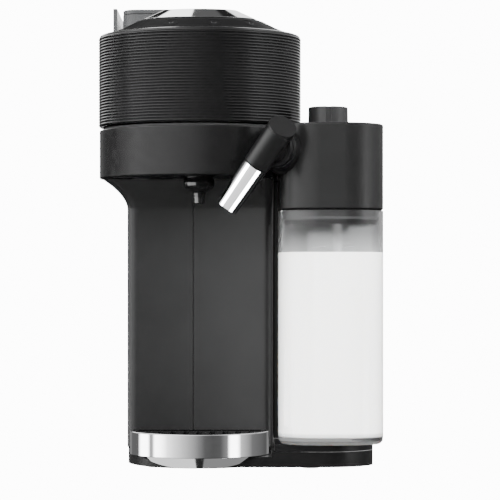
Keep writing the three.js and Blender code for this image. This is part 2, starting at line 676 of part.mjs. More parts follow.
const BOSS = { radius: 12.8, flange: 17.2, root: -33, end: -9.8, fillet: -19 };

function addMilkCarafe() {
  const jug = cut(
    slab(insetBox(JUG, 0), JUG.low, JUG.high),
    slab(insetBox(JUG, JUG_WALL), JUG.low + 3.6, JUG.high + 5),
  );
  part('milk_jug', jug, CLEAR);

  const plugInset = JUG_WALL + 0.6;
  const headSpace = disc(HOUSING.radius + 0.8, 190, 260, 0, 0, 48);
  const boss = cut(join(
    bar(alongBoss(BOSS.root), alongBoss(BOSS.end), BOSS.radius),
    bar(alongBoss(BOSS.root), alongBoss(BOSS.fillet), BOSS.flange, BOSS.radius),
  ), headSpace);
  const cavity = slab(insetBox(JUG, plugInset + 2.4), LID.plug - 5, LID.high - 4);
  const sealGroove = cut(
    slab(insetBox(JUG, 1), 170.9, 173.1),
    slab(insetBox(JUG, plugInset + 1.2), 170, 174),
  );
  const socket = bar(new THREE.Vector3(STEAM.x, 20, STEAM.z),
    new THREE.Vector3(STEAM.x, 0, STEAM.z), STEAM.radius + 0.6);
  const lid = cut(
    join(slab(insetBox(JUG, 0), LID.low, LID.high), slab(insetBox(JUG, plugInset), LID.plug, LID.low + 1)),
    cavity,
  );
  part('milk_lid', cut(
    join(lid, cut(boss, cavity)), sealGroove, socket,
    disc(KNOB.stem + GAP, 225, 240, KNOB.x, KNOB.y),
  ), SATIN_BLACK);

  const seal = cut(
    slab(insetBox(JUG, JUG_WALL + GAP), 171.2, 172.8),
    slab(insetBox(JUG, plugInset + 0.9), 170, 174),
  );
  part('lid_seal', seal, RUBBER);
  const straw = turned([[1.5, 27], [3, 27], [3, 205], [1.5, 205]], 12);
  part('suction_tube', straw.translate(96, -14, 0), INNER_GREY);

  const knob = turned([
    [0, 226], [KNOB.stem, 226], [KNOB.stem, KNOB.low], [KNOB.radius, KNOB.low],
    [KNOB.radius - 0.5, KNOB.high - 1], [KNOB.radius - 1.4, KNOB.high], [0, KNOB.high],
  ], 32).translate(KNOB.x, KNOB.y, 0);
  const pointer = block([KNOB.x - 1.75, KNOB.x + 1.75], [KNOB.y - 20, KNOB.y - KNOB.radius + 2],
    [KNOB.low - 1, KNOB.high + 1]);
  part('froth_knob', cut(knob, pointer), DARK_GREY);
}

function addSpout() {
  const sleeve = bar(alongSpout(-SPOUT.below), alongSpout(SPOUT.above + 6), SPOUT.narrow,
    SPOUT.wide);
  const pivotPad = bar(alongBoss(BOSS.end + GAP), alongBoss(0), BOSS.radius - 3);
  // The top of the sleeve is cut on a slant that faces forwards.
  const slant = new THREE.Vector3(0.39, -0.64, 0.66).normalize();
  const slantSeat = alongSpout(SPOUT.above - 2.2);
  const beyond = bar(slantSeat, slantSeat.clone().addScaledVector(slant, 60), 40);
  const nozzleSocket = bar(alongSpout(-SPOUT.below - 1), alongSpout(-SPOUT.below + 3), 6);
  part('spout_sleeve', cut(join(sleeve, pivotPad), beyond, nozzleSocket), SATIN_BLACK);

  const nozzle = join(
    bar(alongSpout(-SPOUT.reach), alongSpout(-SPOUT.below - GAP), SPOUT.tip, SPOUT.narrow - GAP),
    bar(alongSpout(-SPOUT.below - 2), alongSpout(-SPOUT.below + 2.6), 5.6),
  );
  const bore = bar(alongSpout(-SPOUT.reach - 1), alongSpout(0), 1.9, 1.9, 12);
  const mouth = bar(alongSpout(-SPOUT.reach - 1), alongSpout(-SPOUT.reach + 2.5), 6);
  part('spout_nozzle', cut(nozzle, bore, mouth), CHROME);
}

function addSteamPort() {
  const port = turned([[1.8, 0], [STEAM.radius, 0], [STEAM.radius, 26], [1.8, 26]], 20);
  port.rotateX(Math.PI / 2);
  part('steam_port', port.translate(STEAM.x, 31, STEAM.z), STEEL);
}

// ---------------------------------------------------------------- works inside the body
function addWorks() {
  const pumpX = -20;
  const pumpZ = 48;
  const along = (y) => new THREE.Vector3(pumpX, y, pumpZ);
  const pump = join(
    bar(along(190), along(262), 22),
    bar(along(180), along(191), 9),
    bar(along(261), along(276), 7),
  );
  part('water_pump', pump, STEEL);
  part('flow_meter', join(disc(14, 30, 46, 16, 150), disc(4, 45, 58, 16, 150, 16)), INNER_GREY);
  const thermoblock = join(
    block([16, 60], [246, 288], [70, 170]),
    block([24, 52], [238, 247], [80, 160]),
  );
  part('thermoblock', thermoblock, STEEL);
  const boilerStub = bar(new THREE.Vector3(47, 190, 240), new THREE.Vector3(47, 183.5, 240), 4, 4, 12);
  const boiler = join(disc(19, 228, 284, 47, 205), disc(4, 283, 290, 47, 205, 16), boilerStub);
  part('steam_boiler', boiler, STEEL);
  const board = join(
    block([66, 67.6], [130, 290], [40, 200]),
    block([56, 66.5], [150, 176], [60, 90]),
    block([58, 66.5], [190, 214], [120, 160]),
    block([60, 66.5], [150, 170], [130, 180]),
  );
  part('circuit_board', board, BOARD_GREEN);

  const supply = [[-20, 225, 216], [-20, 226, 190], [-34, 238, 140], [-20, 290, 80], [-20, 284, 48]];
  part('supply_hose', hose(supply, 3, 24), INNER_GREY);
  const pressure = [
    [16, 150, 59], [16, 152, 80], [10, 200, 140], [22, 250, 190], [38, 264, 186], [38, 266, 171],
  ];
  part('pressure_hose', hose(pressure, 3, 24), INNER_GREY);
  const steam = [
    [47, 178.6, 240], [47, 175, 234], [47, 174, 222], [50, 168, 202], [60, 130, 190],
    [66, 98, 190], [68, 74, 196], [74, 64, 207], [86, 48, 214], [88, 31.4, 214],
  ];
  part('steam_hose', hose(steam, 3, 30), INNER_GREY);
}

addBase();
addColumn();
addRearBody();
addLowerHead();
addSpinDrive();
addHinge();
addUpperHead();
addDripTray();
addCapsuleContainer();
addWaterTank();
addMilkCarafe();
addSpout();
addSteamPort();
addWorks();

// Centre the footprint on the origin, with the feet on Z = 0.
const bounds = new THREE.Box3().setFromObject(assembly);
const centre = bounds.getCenter(new THREE.Vector3());
assembly.position.set(-centre.x, -centre.y, -bounds.min.z);

const machine = new THREE.Group();
machine.add(assembly);

export default machine;
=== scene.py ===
"""Pod coffee machine with a clip-on milk carafe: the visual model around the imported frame.

Shapes are drawn in millimetres around the axis of the brewing head, with z = 0 on the table.
Their places come from the boxes of the frame's nodes.
"""
import json
import math

import bmesh
import bpy
from mathutils import Matrix, Vector

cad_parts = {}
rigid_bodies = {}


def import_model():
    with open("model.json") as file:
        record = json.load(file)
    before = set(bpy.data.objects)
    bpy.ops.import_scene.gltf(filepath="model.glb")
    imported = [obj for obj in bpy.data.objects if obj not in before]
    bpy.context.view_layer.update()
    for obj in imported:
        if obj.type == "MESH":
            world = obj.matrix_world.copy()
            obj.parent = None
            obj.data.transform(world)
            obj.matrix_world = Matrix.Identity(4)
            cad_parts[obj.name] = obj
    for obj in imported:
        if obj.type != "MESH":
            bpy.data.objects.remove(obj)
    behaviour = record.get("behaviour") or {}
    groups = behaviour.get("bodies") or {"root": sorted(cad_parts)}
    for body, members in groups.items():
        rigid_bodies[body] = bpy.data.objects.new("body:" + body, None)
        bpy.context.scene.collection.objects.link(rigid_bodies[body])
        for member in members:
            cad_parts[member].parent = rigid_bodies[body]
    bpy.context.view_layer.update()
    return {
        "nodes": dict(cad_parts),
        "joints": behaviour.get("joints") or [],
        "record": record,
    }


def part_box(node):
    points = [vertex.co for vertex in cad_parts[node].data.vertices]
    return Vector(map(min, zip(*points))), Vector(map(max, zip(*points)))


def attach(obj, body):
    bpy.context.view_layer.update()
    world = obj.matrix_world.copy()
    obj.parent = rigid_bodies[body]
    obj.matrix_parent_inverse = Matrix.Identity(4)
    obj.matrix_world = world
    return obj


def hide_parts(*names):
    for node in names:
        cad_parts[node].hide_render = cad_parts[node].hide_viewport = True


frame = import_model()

MM = 0.001
HEAD_LOW, HEAD_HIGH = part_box("head_shell")
AXIS = Vector(((HEAD_LOW.x + HEAD_HIGH.x) / 2, (HEAD_LOW.y + HEAD_HIGH.y) / 2, 0))


def spot(x, y, z):
    """A point given in millimetres around the head's axis, in the frame's metres."""
    return AXIS + Vector((x, y, z)) * MM


def span(node):
    """A node's box in millimetres around the head's axis: low corner, high corner."""
    low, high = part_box(node)
    return (low - AXIS) / MM, (high - AXIS) / MM


def middle_of(node):
    """The middle of a node's box, seen from above."""
    low, high = span(node)
    return (low.x + high.x) / 2, (low.y + high.y) / 2


def joint_of(body):
    return next(j for j in frame["joints"] if j["child"] == body)


def pivot_of(body):
    """The point that a hinged body turns about."""
    return (Vector(joint_of(body)["pos_m"]) - AXIS) / MM


# ---------------------------------------- camera
CAMERA_DISTANCE = 1770
CAMERA_HEIGHT = 119
CAMERA_RIGHT = 35.2
LENS = 181.3  # on a 36 mm sensor
SHIFT_UP = 0.0918


def add_camera():
    data = bpy.data.cameras.new("camera")
    data.lens = LENS
    data.sensor_width = 36
    data.shift_y = SHIFT_UP
    data.clip_end = 50
    camera = bpy.data.objects.new("camera", data)
    camera.location = spot(CAMERA_RIGHT, -CAMERA_DISTANCE, CAMERA_HEIGHT)
    camera.rotation_euler = (math.radians(90), 0, 0)
    bpy.context.collection.objects.link(camera)
    bpy.context.scene.camera = camera


# ---------------------------------------- materials
MILK_GLOW_LOW = 150  # painted glow: the jug's wall is whiter up to just above the milk, standing in for the milk's light in the frosted wall, and fades out between these heights
MILK_GLOW_HIGH = 162
JUG_FOOT = 21  # the floor of the jug is clear


class Recipe:
    """A material's node tree, with short calls for the nodes that every recipe uses.
    A noise is (size of its features in mm, detail) and may end with a stretch of its axes."""

    def __init__(self, name, **values):
        self.material = bpy.data.materials.new(name)
        self.material.use_nodes = True
        self.nodes = self.material.node_tree.nodes
        self.links = self.material.node_tree.links
        self.shader = self.nodes["Principled BSDF"]
        self.place = self.nodes.new("ShaderNodeTexCoord").outputs["Object"]
        for socket, value in values.items():
            self.shader.inputs[socket.replace("_", " ")].default_value = value

    def noise(self, size_mm, detail, stretch=None):
        node = self.nodes.new("ShaderNodeTexNoise")
        node.inputs["Scale"].default_value = 1 / (size_mm * MM)
        node.inputs["Detail"].default_value = detail
        source = self.place
        if stretch:
            mapping = self.nodes.new("ShaderNodeMapping")
            mapping.inputs["Scale"].default_value = stretch
            self.links.new(source, mapping.inputs["Vector"])
            source = mapping.outputs["Vector"]
        self.links.new(source, node.inputs["Vector"])
        return node.outputs["Fac"]

    def spread(self, source, low, high, first=0.3, last=0.7):
        """Maps a value from first..last, which a noise fills, to low..high."""
        node = self.nodes.new("ShaderNodeMapRange")
        node.inputs["From Min"].default_value = first
        node.inputs["From Max"].default_value = last
        node.inputs["To Min"].default_value = low
        node.inputs["To Max"].default_value = high
        self.links.new(source, node.inputs["Value"])
        return node.outputs["Result"]

    def tint(self, noise, dark, light):
        node = self.nodes.new("ShaderNodeMix")
        node.data_type = "RGBA"
        node.inputs["A"].default_value = (*dark, 1)
        node.inputs["B"].default_value = (*light, 1)
        self.links.new(self.noise(*noise), node.inputs["Factor"])
        self.links.new(node.outputs["Result"], self.shader.inputs["Base Color"])

    def rough(self, noise, low, high):
        result = self.spread(self.noise(*noise), low, high)
        self.links.new(result, self.shader.inputs["Roughness"])

    def bump(self, noise, depth_mm):
        node = self.nodes.new("ShaderNodeBump")
        node.inputs["Strength"].default_value = 1
        node.inputs["Distance"].default_value = depth_mm * MM
        self.links.new(self.noise(*noise), node.inputs["Height"])
        self.links.new(node.outputs["Normal"], self.shader.inputs["Normal"])


def surface(name, tint, rough, bump=None, **values):
    """A material from (noise, dark, light), (noise, low, high) and (noise, depth_mm)."""
    recipe = Recipe(name, **values)
    recipe.tint(*tint)
    recipe.rough(*rough)
    if bump:
        recipe.bump(*bump)
    return recipe.material


def grey(level):
    return (level, level, level * 1.02)


def moulded(name, level, roughness, grain_mm, grain_depth, sheen=0.5):
    """Spark-eroded plastic: fine even grain, faint cloudy shade and handling marks."""
    return surface(
        name, ((28, 2), grey(level * 0.82), grey(level * 1.18)),
        ((6, 4), roughness - 0.05, roughness + 0.05), ((grain_mm, 2), grain_depth),
        Specular_IOR_Level=sheen)


def turned_steel(name, level):
    """Steel with fine lathe lines round its length."""
    lines = (0.5, 2, (0.1, 0.1, 4))
    return surface(name, ((9, 3), grey(level * 0.85), grey(level * 1.1)), (lines, 0.22, 0.4),
                   (lines, 0.01), Metallic=1)


def clear_plastic():
    """The jug: slightly frosted, with a painted glow (a little diffuse white in the wall that
    stands in for the milk's light) which fades out above the milk, and none on its clear foot."""
    recipe = Recipe("clear_plastic", Base_Color=(0.93, 0.94, 0.945, 1), IOR=1.49)
    height = recipe.nodes.new("ShaderNodeSeparateXYZ")
    recipe.links.new(recipe.place, height.inputs["Vector"])
    # painted glow: less transmission, so a whiter wall, up to just above the milk
    painted_glow = recipe.spread(height.outputs["Z"], 0.963, 0.998, MILK_GLOW_LOW * MM, MILK_GLOW_HIGH * MM)
    foot = recipe.spread(height.outputs["Z"], 0.12, 0, JUG_FOOT * MM, (JUG_FOOT + 2) * MM)
    sum_up = recipe.nodes.new("ShaderNodeMath")
    sum_up.use_clamp = True
    recipe.links.new(painted_glow, sum_up.inputs[0])
    recipe.links.new(foot, sum_up.inputs[1])
    recipe.links.new(sum_up.outputs["Value"], recipe.shader.inputs["Transmission Weight"])
    recipe.rough((14, 3), 0.12, 0.17)
    recipe.bump((30, 1), 0.01)
    return recipe.material


def printed(name, level):
    return surface(
        name, ((0.5, 3), grey(level * 0.8), grey(level * 1.15)), ((1, 2), 0.45, 0.6))


SATIN = moulded("satin_black", 0.0024, 0.33, 0.35, 0.004)
RIBBED = moulded("ribbed_black", 0.0016, 0.09, 0.5, 0.0004)
SOFT_GREY = moulded("dark_grey", 0.012, 0.5, 0.45, 0.02)
KNOB_GREY = moulded("knob_grey", 0.007, 0.36, 0.35, 0.004)
PALE_PLASTIC = moulded("inner_plastic", 0.5, 0.45, 0.6, 0.02)
# Polished plastic with a faint orange-peel wave and smears.
GLOSS = surface("gloss_black", ((30, 2), grey(0.0017), grey(0.0023)), ((11, 4), 0.06, 0.14),
                ((7, 1), 0.006), Coat_Weight=0.4, Coat_Roughness=0.04)
DOME_BLACK = moulded("dome_black", 0.003, 0.35, 0.4, 0.002, sheen=0.0015)
HOUSING_BLACK = moulded("housing_black", 0.0018, 0.2, 0.35, 0.003)
COLUMN_BLACK = moulded("column_black", 0.006, 0.33, 0.35, 0.004)
BASE_BLACK = moulded("base_black", 0.002, 0.36, 0.35, 0.004, sheen=0.25)
# Bright plating over moulded plastic, with slight waviness and wipe marks.
CHROME = surface("chrome", ((18, 2), (0.74, 0.745, 0.755), (0.82, 0.82, 0.825)),
                 ((9, 5, (1, 1, 3)), 0.04, 0.085), ((16, 1), 0.004), Metallic=1)
STEEL = turned_steel("steel", 0.5)
MOTOR_STEEL = turned_steel("motor_steel", 0.4)
CAST = surface("cast_aluminium", ((5, 4), grey(0.36), grey(0.495)), ((1.5, 4), 0.4, 0.65),
               ((0.8, 3), 0.05), Metallic=0.9)
RUBBER = surface("rubber", ((3, 4), grey(0.012), grey(0.03)), ((1.2, 4), 0.7, 0.9),
                 ((0.4, 3), 0.03))
CLEAR = clear_plastic()
# The water tank: grey translucent plastic with a fine matt grain.
SMOKED = surface("smoked_plastic", ((25, 2), (0.022, 0.0225, 0.023), (0.026, 0.0265, 0.027)),
                 ((5, 3), 0.12, 0.24), ((0.5, 2), 0.006), Transmission_Weight=0.12, IOR=1.47)
MILK = surface("milk", ((40, 2), (0.86, 0.855, 0.835), (0.9, 0.895, 0.88)),
               ((8, 2), 0.25, 0.38), ((3, 2), 0.01), Subsurface_Weight=0.35,
               Subsurface_Radius=(1.0, 0.85, 0.7), Subsurface_Scale=0.004)
# Circuit board: green lacquer over a faint woven base.
BOARD = surface("board_green", ((2.5, 5), (0.008, 0.07, 0.03), (0.02, 0.13, 0.055)),
                ((1, 3), 0.3, 0.55), ((0.6, 2, (1, 3, 3)), 0.03))
PRINT = printed("print_grey", 0.12)
ICON_PRINT = printed("print_dark", 0.02)

FINISHES = {
    "satin_black": SATIN,
    "gloss_black": GLOSS,
    "dark_grey": SOFT_GREY,
    "rubber": RUBBER,
    "chrome": CHROME,
    "steel": STEEL,
    "motor_steel": MOTOR_STEEL,
    "cast_aluminium": CAST,
    "inner_plastic": PALE_PLASTIC,
    "circuit": BOARD,
    "clear_plastic": CLEAR,
    "smoked_plastic": SMOKED,
}
NODE_SLOT = {row["node"]: row["material_slot"] for row in frame["record"]["subparts"]}
NODE_BODY = {
    node: body
    for body, nodes in frame["record"]["behaviour"]["bodies"].items()
    for node in nodes
}


# ---------------------------------------- outlines and profiles
def arc(cx, cy, rx, ry, start, end, steps):
    """Points on an ellipse, from start to end degrees."""
    points = []
    for i in range(steps + 1):
        angle = math.radians(start + (end - start) * i / steps)
        points.append((cx + rx * math.cos(angle), cy + ry * math.sin(angle)))
    return points


def rounded(points, closed=True, steps=5):
    """Rounds the corners of a polyline; a corner is (x, y) or (x, y, radius)."""
    made = []
    count = len(points)
    for i, point in enumerate(points):
        corner = Vector(point[:2])
        radius = point[2] if len(point) > 2 else 0
        inner = closed or 0 < i < count - 1
        if not radius or not inner:
            made.append(tuple(corner))
            continue
        before = Vector(points[i - 1][:2]) - corner
        after = Vector(points[(i + 1) % count][:2]) - corner
        angle = before.angle(after)
        reach = radius / math.tan(angle / 2)
        start = corner + before.normalized() * min(reach, before.length * 0.49)
        end = corner + after.normalized() * min(reach, after.length * 0.49)
        for k in range(steps + 1):
            t = k / steps
            made.append(tuple(start * (1 - t) ** 2 + corner * 2 * t * (1 - t) + end * t ** 2))
    return made


def soft_box(x0, x1, y0, y1, corner, steps):
    """An outline function: a rectangle with round corners, drawn in by inset."""
    def outline(inset):
        radius = max(corner - inset, 0.4)
        left, right = x0 + inset + radius, x1 - inset - radius
        front, rear = y0 + inset + radius, y1 - inset - radius
        return (
            arc(right, front, radius, radius, -90, 0, steps)
            + arc(right, rear, radius, radius, 0, 90, steps)
            + arc(left, rear, radius, radius, 90, 180, steps)
            + arc(left, front, radius, radius, 180, 270, steps)
        )
    return outline


# ---------------------------------------- meshes
def skinned(rings, closed=False):
    """Faces between rings of equal length, with flat ends unless the rings close."""
    count = len(rings[0])
    verts = [point for ring in rings for point in ring]
    faces = []
    for j in range(len(rings) if closed else len(rings) - 1):
        k = (j + 1) % len(rings)
        for i in range(count):
            n = (i + 1) % count
            faces.append((j * count + i, j * count + n, k * count + n, k * count + i))
    if not closed:
        last = (len(rings) - 1) * count
        faces.append(tuple(reversed(range(count))))
        faces.append(tuple(range(last, last + count)))
    return verts, faces


def stacked(outline, profile, closed=False, centre=(0, 0)):
    """Rings of outline(inset) at each (inset, z); a closed profile makes a shell."""
    rings = [
        [(x + centre[0], y + centre[1], z) for x, y in outline(inset)] for inset, z in profile
    ]
    return skinned(rings, closed)


def turned(profile, closed=False, centre=(0, 0), steps=128):
    """A (radius, z) profile turned about the vertical; a closed one makes a ring."""
    def outline(radius):
        return arc(0, 0, radius, radius, 0, 360, steps)[:-1]
    return stacked(outline, profile, closed, centre)


def rod(radius, low, high, centre=(0, 0), steps=48):
    return turned([(radius, low), (radius, high)], centre=centre, steps=steps)


def along(geometry, origin, direction):
    """Stands a geometry drawn along +z on origin, along direction."""
    verts, faces = geometry
    turn = Vector((0, 0, 1)).rotation_difference(Vector(direction))
    return [tuple(turn @ Vector(v) + Vector(origin)) for v in verts], faces


def box_mesh(x0, x1, y0, y1, z0, z1):
    ring = [(x0, y0), (x1, y0), (x1, y1), (x0, y1)]
    return skinned([[(x, y, z) for x, y in ring] for z in (z0, z1)])


def raw(name, geometry):
    verts, faces = geometry
    mesh = bpy.data.meshes.new(name)
    mesh.from_pydata([spot(*v) for v in verts], [], faces)
    tidy = bmesh.new()
    tidy.from_mesh(mesh)
    bmesh.ops.remove_doubles(tidy, verts=tidy.verts, dist=2e-6)
    bmesh.ops.dissolve_degenerate(tidy, edges=tidy.edges, dist=1e-6)
    bmesh.ops.recalc_face_normals(tidy, faces=tidy.faces)
    tidy.to_mesh(mesh)
    tidy.free()
    made = bpy.data.objects.new(name, mesh)
    bpy.context.collection.objects.link(made)
    return made


def settle(target):
    """Applies the modifiers of a piece to its mesh."""
    bpy.context.view_layer.update()
    graph = bpy.context.evaluated_depsgraph_get()
    mesh = bpy.data.meshes.new_from_object(target.evaluated_get(graph))
    target.modifiers.clear()
    target.data = mesh
    return target


def carve(target, *tools, operation="DIFFERENCE"):
    for geometry in tools:
        cutter = raw("cutter", geometry)
        change = target.modifiers.new("carve", "BOOLEAN")
        change.operation = operation
        change.solver = "EXACT"
        change.object = cutter
        settle(target)
        bpy.data.objects.remove(cutter)
    return target


def soften(target, width_mm, angle=40, segments=3):
    """Rounds the edges that are sharper than angle."""
    edge = target.modifiers.new("edge", "BEVEL")
    edge.width = width_mm * MM
    edge.segments = segments
    edge.limit_method = "ANGLE"
    edge.angle_limit = math.radians(angle)
    edge.miter_outer = "MITER_ARC"
    return settle(target)


def shade(target, material, sharp=35):
    """Smooth shading that leaves the large flat faces flat beside their rounded edges."""
    mesh = target.data
    mesh.materials.clear()
    mesh.materials.append(material)
    mesh.shade_smooth()
    mesh.set_sharp_from_angle(angle=math.radians(sharp))
    normals = target.modifiers.new("normals", "WEIGHTED_NORMAL")
    normals.mode = "FACE_AREA"
    normals.weight = 50
    normals.keep_sharp = True
    return settle(target)


def piece(name, geometry, node, material=None, sharp=35, stands_for=True):
    """A visible piece that rides with a node's body, and by default replaces the node."""
    made = raw(name, geometry) if isinstance(geometry, tuple) else geometry
    made.name = name
    slot_name = NODE_SLOT[node]
    shade(made, material or FINISHES[slot_name], sharp)
    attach(made, NODE_BODY[node])
    if stands_for:
        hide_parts(node)
    return made


def refined(node, width_mm, material=None, angle=40):
    """The node's own shape with rounded edges, as a piece of its own."""
    source = frame["nodes"][node]
    made = bpy.data.objects.new(node + "_fine", source.data.copy())
    bpy.context.collection.objects.link(made)
    tidy = bmesh.new()
    tidy.from_mesh(made.data)
    bmesh.ops.remove_doubles(tidy, verts=tidy.verts, dist=5e-6)
    bmesh.ops.dissolve_limit(
        tidy, angle_limit=math.radians(1), verts=tidy.verts, edges=tidy.edges)
    tidy.to_mesh(made.data)
    tidy.free()
    soften(made, width_mm, angle)
    return piece(node + "_fine", made, node, material)


# ---------------------------------------- brewing head
RIB_COUNT = 31
RIB_DEPTH = 1.1


def rib_profile(radius, low, high):
    """Half-round ribs with narrow grooves between them, from the bottom up."""
    pitch = (high - low) / RIB_COUNT
    steps = 9
    points = []
    for rib in range(RIB_COUNT):
        for k in range(steps):
            across = 2 * (k + 0.5) / steps - 1
            bulge = math.sqrt(1 - across ** 2)
            height = low + pitch * (rib + (k + 0.5) / steps)
            points.append((radius - RIB_DEPTH * (1 - bulge), height))
    return points


def leaning(geometry):
    """Leans a shape drawn upright along the lever's axis, as the dome and all on it lean."""
    verts, faces = geometry
    body = NODE_BODY["lock_lever"]
    pivot = pivot_of(body)
    turn = Vector((0, 0, 1)).rotation_difference(Vector(joint_of(body)["axis"]))
    return [tuple(pivot + turn @ (Vector(v) - pivot)) for v in verts], faces


def add_head():
    low, high = span("head_shell")
    radius = (high.x - low.x) / 2
    inner = radius - 3
    top = high.z
    ribs = rib_profile(radius, low.z + 0.5, top - 1.9)
    profile = (
        [(inner, low.z), (radius - 0.9, low.z)]
        + ribs
        + rounded([
            (radius - 0.5, top - 1.7), (radius - 0.9, top - 0.6, 0.7), (radius - 2.4, top, 0.9),
            (56, top), (56, top - 3), (inner, top - 3)], False)
    )
    shell = raw("head_ribs", turned(profile, closed=True, steps=216))
    arm_low, arm_high = span("hinge_arm")
    carve(shell, box_mesh(arm_low.x - 0.4, arm_high.x + 0.4, 60, 80, 230, 250.3))
    piece("head_ribs", shell, "head_shell", RIBBED, sharp=50)
    add_dome(top + 0.3)

    piece("brew_plate_fine", turned(rounded([
        (3, 233.6), (26, 233.6), (30, 233.6, 1), (30, 237.6, 0.6), (66, 237.6), (67.7, 237.6, 0.8),
        (67.7, 242.5, 0.6), (3, 242.5),
    ]), closed=True), "brew_plate")
    refined("hinge_arm", 0.8)


DOME_TOP = 312.5
BUTTON_RADIUS = 5.28
BUTTON_HOLE = 5.35
BUTTON_REACH = 2.9  # from the middle of a button's solid to its cap
CUPS = ((1.5, 2.0), (1.9, 2.6), (1.6, 3.2))  # half width and height of each printed cup


def add_dome(seat):
    """The leaning dome, cut off level where it stands on the head, with its three buttons."""
    top = DOME_TOP
    skin = rounded([
        (67.9, seat - 12), (67.9, 302.1, 0.5), (63.1, 303.5, 4), (57.7, 305.1, 5), (53.5, 306.9, 5),
        (48.4, 309.4, 5), (44.1, 311.5, 3), (41, top, 2), (30, top), (10.4, top),
    ], False)
    under = [(10.4, top - 2.4), (40.2, top - 2.4), (52.4, 304.7), (65.4, 301.2), (65.4, seat - 12)]
    dome = raw("dome_cap", leaning(turned(skin + under, closed=True, steps=160)))
    carve(dome, box_mesh(-90, 90, -90, 90, seat - 30, seat))
    buttons = [button_axis(f"drink_button_{i}") for i in (1, 2, 3)]
    for place, normal in buttons:
        carve(dome, along(rod(BUTTON_HOLE, -12, 6), place, normal))
    soften(dome, 0.05, 50, 1)
    piece("dome_cap", dome, "head_dome", DOME_BLACK, sharp=30)
    for i, (place, normal) in enumerate(buttons):
        add_button(i + 1, place, normal)


def button_axis(node):
    """Where a button's cap meets the dome, and the way it faces, from its joint."""
    normal = -Vector(joint_of(NODE_BODY[node])["axis"])
    low, high = span(node)
    return (low + high) / 2 + normal * BUTTON_REACH, normal


def add_button(number, seat, normal):
    """A flush cap with a small printed cup: small, large, or with milk."""
    node = f"drink_button_{number}"
    cap = turned(rounded([
        (0, -6), (BUTTON_RADIUS, -6), (BUTTON_RADIUS, 0, 0.1), (4.2, 0), (0, -0.05),
    ], False), steps=64)
    piece(f"button_cap_{number}", along(cap, seat, normal), node, DOME_BLACK, sharp=40)
    width, height = CUPS[number - 1]
    line = 0.28
    outer = [(-width, height / 2), (-width * 0.7, -height / 2),
             (width * 0.7, -height / 2), (width, height / 2)]
    inner = [(x * (1 - line / width), y + line if y < 0 else y) for x, y in outer]
    ring = outer + inner[::-1]
    print_low, print_high = -0.05, 0.03
    cup = skinned([[(x, y, z) for x, y in ring] for z in (print_low, print_high)])
    piece(f"button_print_{number}", along(cup, seat, normal), node, ICON_PRINT, stands_for=False)


LEVER_FOOT = 312.8
LEVER_TOP = 319.4
LEVER_BASE = 39.6
LEVER_FLAT = 26
LEVER_TAIL = 62


def add_lever():
    crown = rounded([
        (0, 296), (10, 296), (10, LEVER_FOOT), (LEVER_BASE - 0.5, LEVER_FOOT, 0.2),
        (LEVER_BASE, LEVER_FOOT + 0.35, 0.25), (LEVER_FLAT, LEVER_TOP - 0.05, 1.6), (0, LEVER_TOP),
    ], False, 8)
    piece("lever_crown", leaning(turned(crown, steps=192)), "lock_lever", sharp=28)
    # The handle: a flat tongue that thickens a little towards its round end.
    half = 12.2
    rings = []
    sections = 26
    for i in range(sections + 1):
        t = i / sections
        y = 12 + (LEVER_TAIL - 12) * t
        from_end = max(0.0, half - (LEVER_TAIL - y)) / half
        width = half * math.sqrt(max(0.0, 1 - from_end ** 2)) if from_end else half
        width = max(width, 0.35)
        bottom, crest = LEVER_FOOT + 0.5, LEVER_FOOT + 4.2 + 0.5 * math.sin(math.pi * t)
        edge = min(1.0, width * 0.4)
        rings.append([(x, y, z) for x, z in rounded([
            (-width, bottom, edge), (width, bottom, edge),
            (width, crest, edge), (-width, crest, edge)], steps=4)])
    piece("lever_handle", leaning(skinned(rings)), "lock_lever", sharp=40)


# ---------------------------------------- lower head and column
WALL = 2.5
CUT_X = 54
CUT_Y = 22


def housing_radius():
    return -span("lower_head_housing")[0].x


def housing_outline(inset):
    """A circle with its right side cut off flat ahead of CUT_Y, where the carafe clips in."""
    radius = housing_radius() - inset
    side = CUT_X - inset
    step = CUT_Y + inset
    corner = 2.5
    lower = math.degrees(-math.acos(side / radius))
    upper = math.degrees(math.asin(step / radius))
    notch = rounded([
        (radius * math.cos(math.radians(upper)), step),
        (side, step, corner),
        (side, -radius * math.sin(math.radians(-lower))),
    ], False)
    around = arc(0, 0, radius, radius, upper, 360 + lower, 150)
    return around[1:-1] + notch[::-1]


def add_lower_head():
    low, high = span("lower_head_housing")
    hole = 9.5
    skirt = rounded([
        (20, low.z), (0.5, low.z, 0.5), (0, low.z + 0.6, 0.5), (0, high.z, 0.8),
        (WALL, high.z, 0.6), (WALL, low.z + WALL, 1), (20, low.z + WALL),
    ], False)
    shell = raw("housing_skirt", stacked(housing_outline, skirt))
    carve(
        shell,
        rod(hole, 190, 215, (0, -28), 64),
        rod(5, 190, 215, (0, 52)),
    )
    piece("lower_housing", shell, "lower_head_housing", HOUSING_BLACK, sharp=40)

    refined("seat_ring", 0.4)
    low, high = span("capsule_holder")
    cup = rounded([
        (0, low.z), (10, low.z), (10, 206), (30, 206, 0.5), (28.6, 207.2), (28.6, 211.8),
        (30, 213, 0.5), (34, 214, 0.6), (34, high.z, 1), (31, high.z, 0.5), (31, high.z - 2, 0.4),
        (28, high.z - 2, 0.8), (22, 215.5, 3), (0, 215.5),
    ], False)
    piece("pod_cup", turned(cup, steps=96), "capsule_holder")
    add_outlet()


def add_outlet():
    low, high = span("coffee_outlet")
    body = rounded([
        (1.8, low.z), (3.4, low.z), (3.9, low.z + 0.4, 0.3), (4.0, 187, 2), (4.5, 190.4, 1),
        (6.6, 191.3, 1.2), (9.2, 193.2, 1.6), (10.5, 194.8, 1.4), (10.9, 197.1, 1.6),
        (10.3, 199.6, 1), (9.7, 200.7, 0.3), (9, 200.7), (9, high.z, 0.3), (1.8, high.z),
    ])
    spout = turned(body, closed=True, centre=middle_of("coffee_outlet"), steps=96)
    piece("outlet_spout", spout, "coffee_outlet")


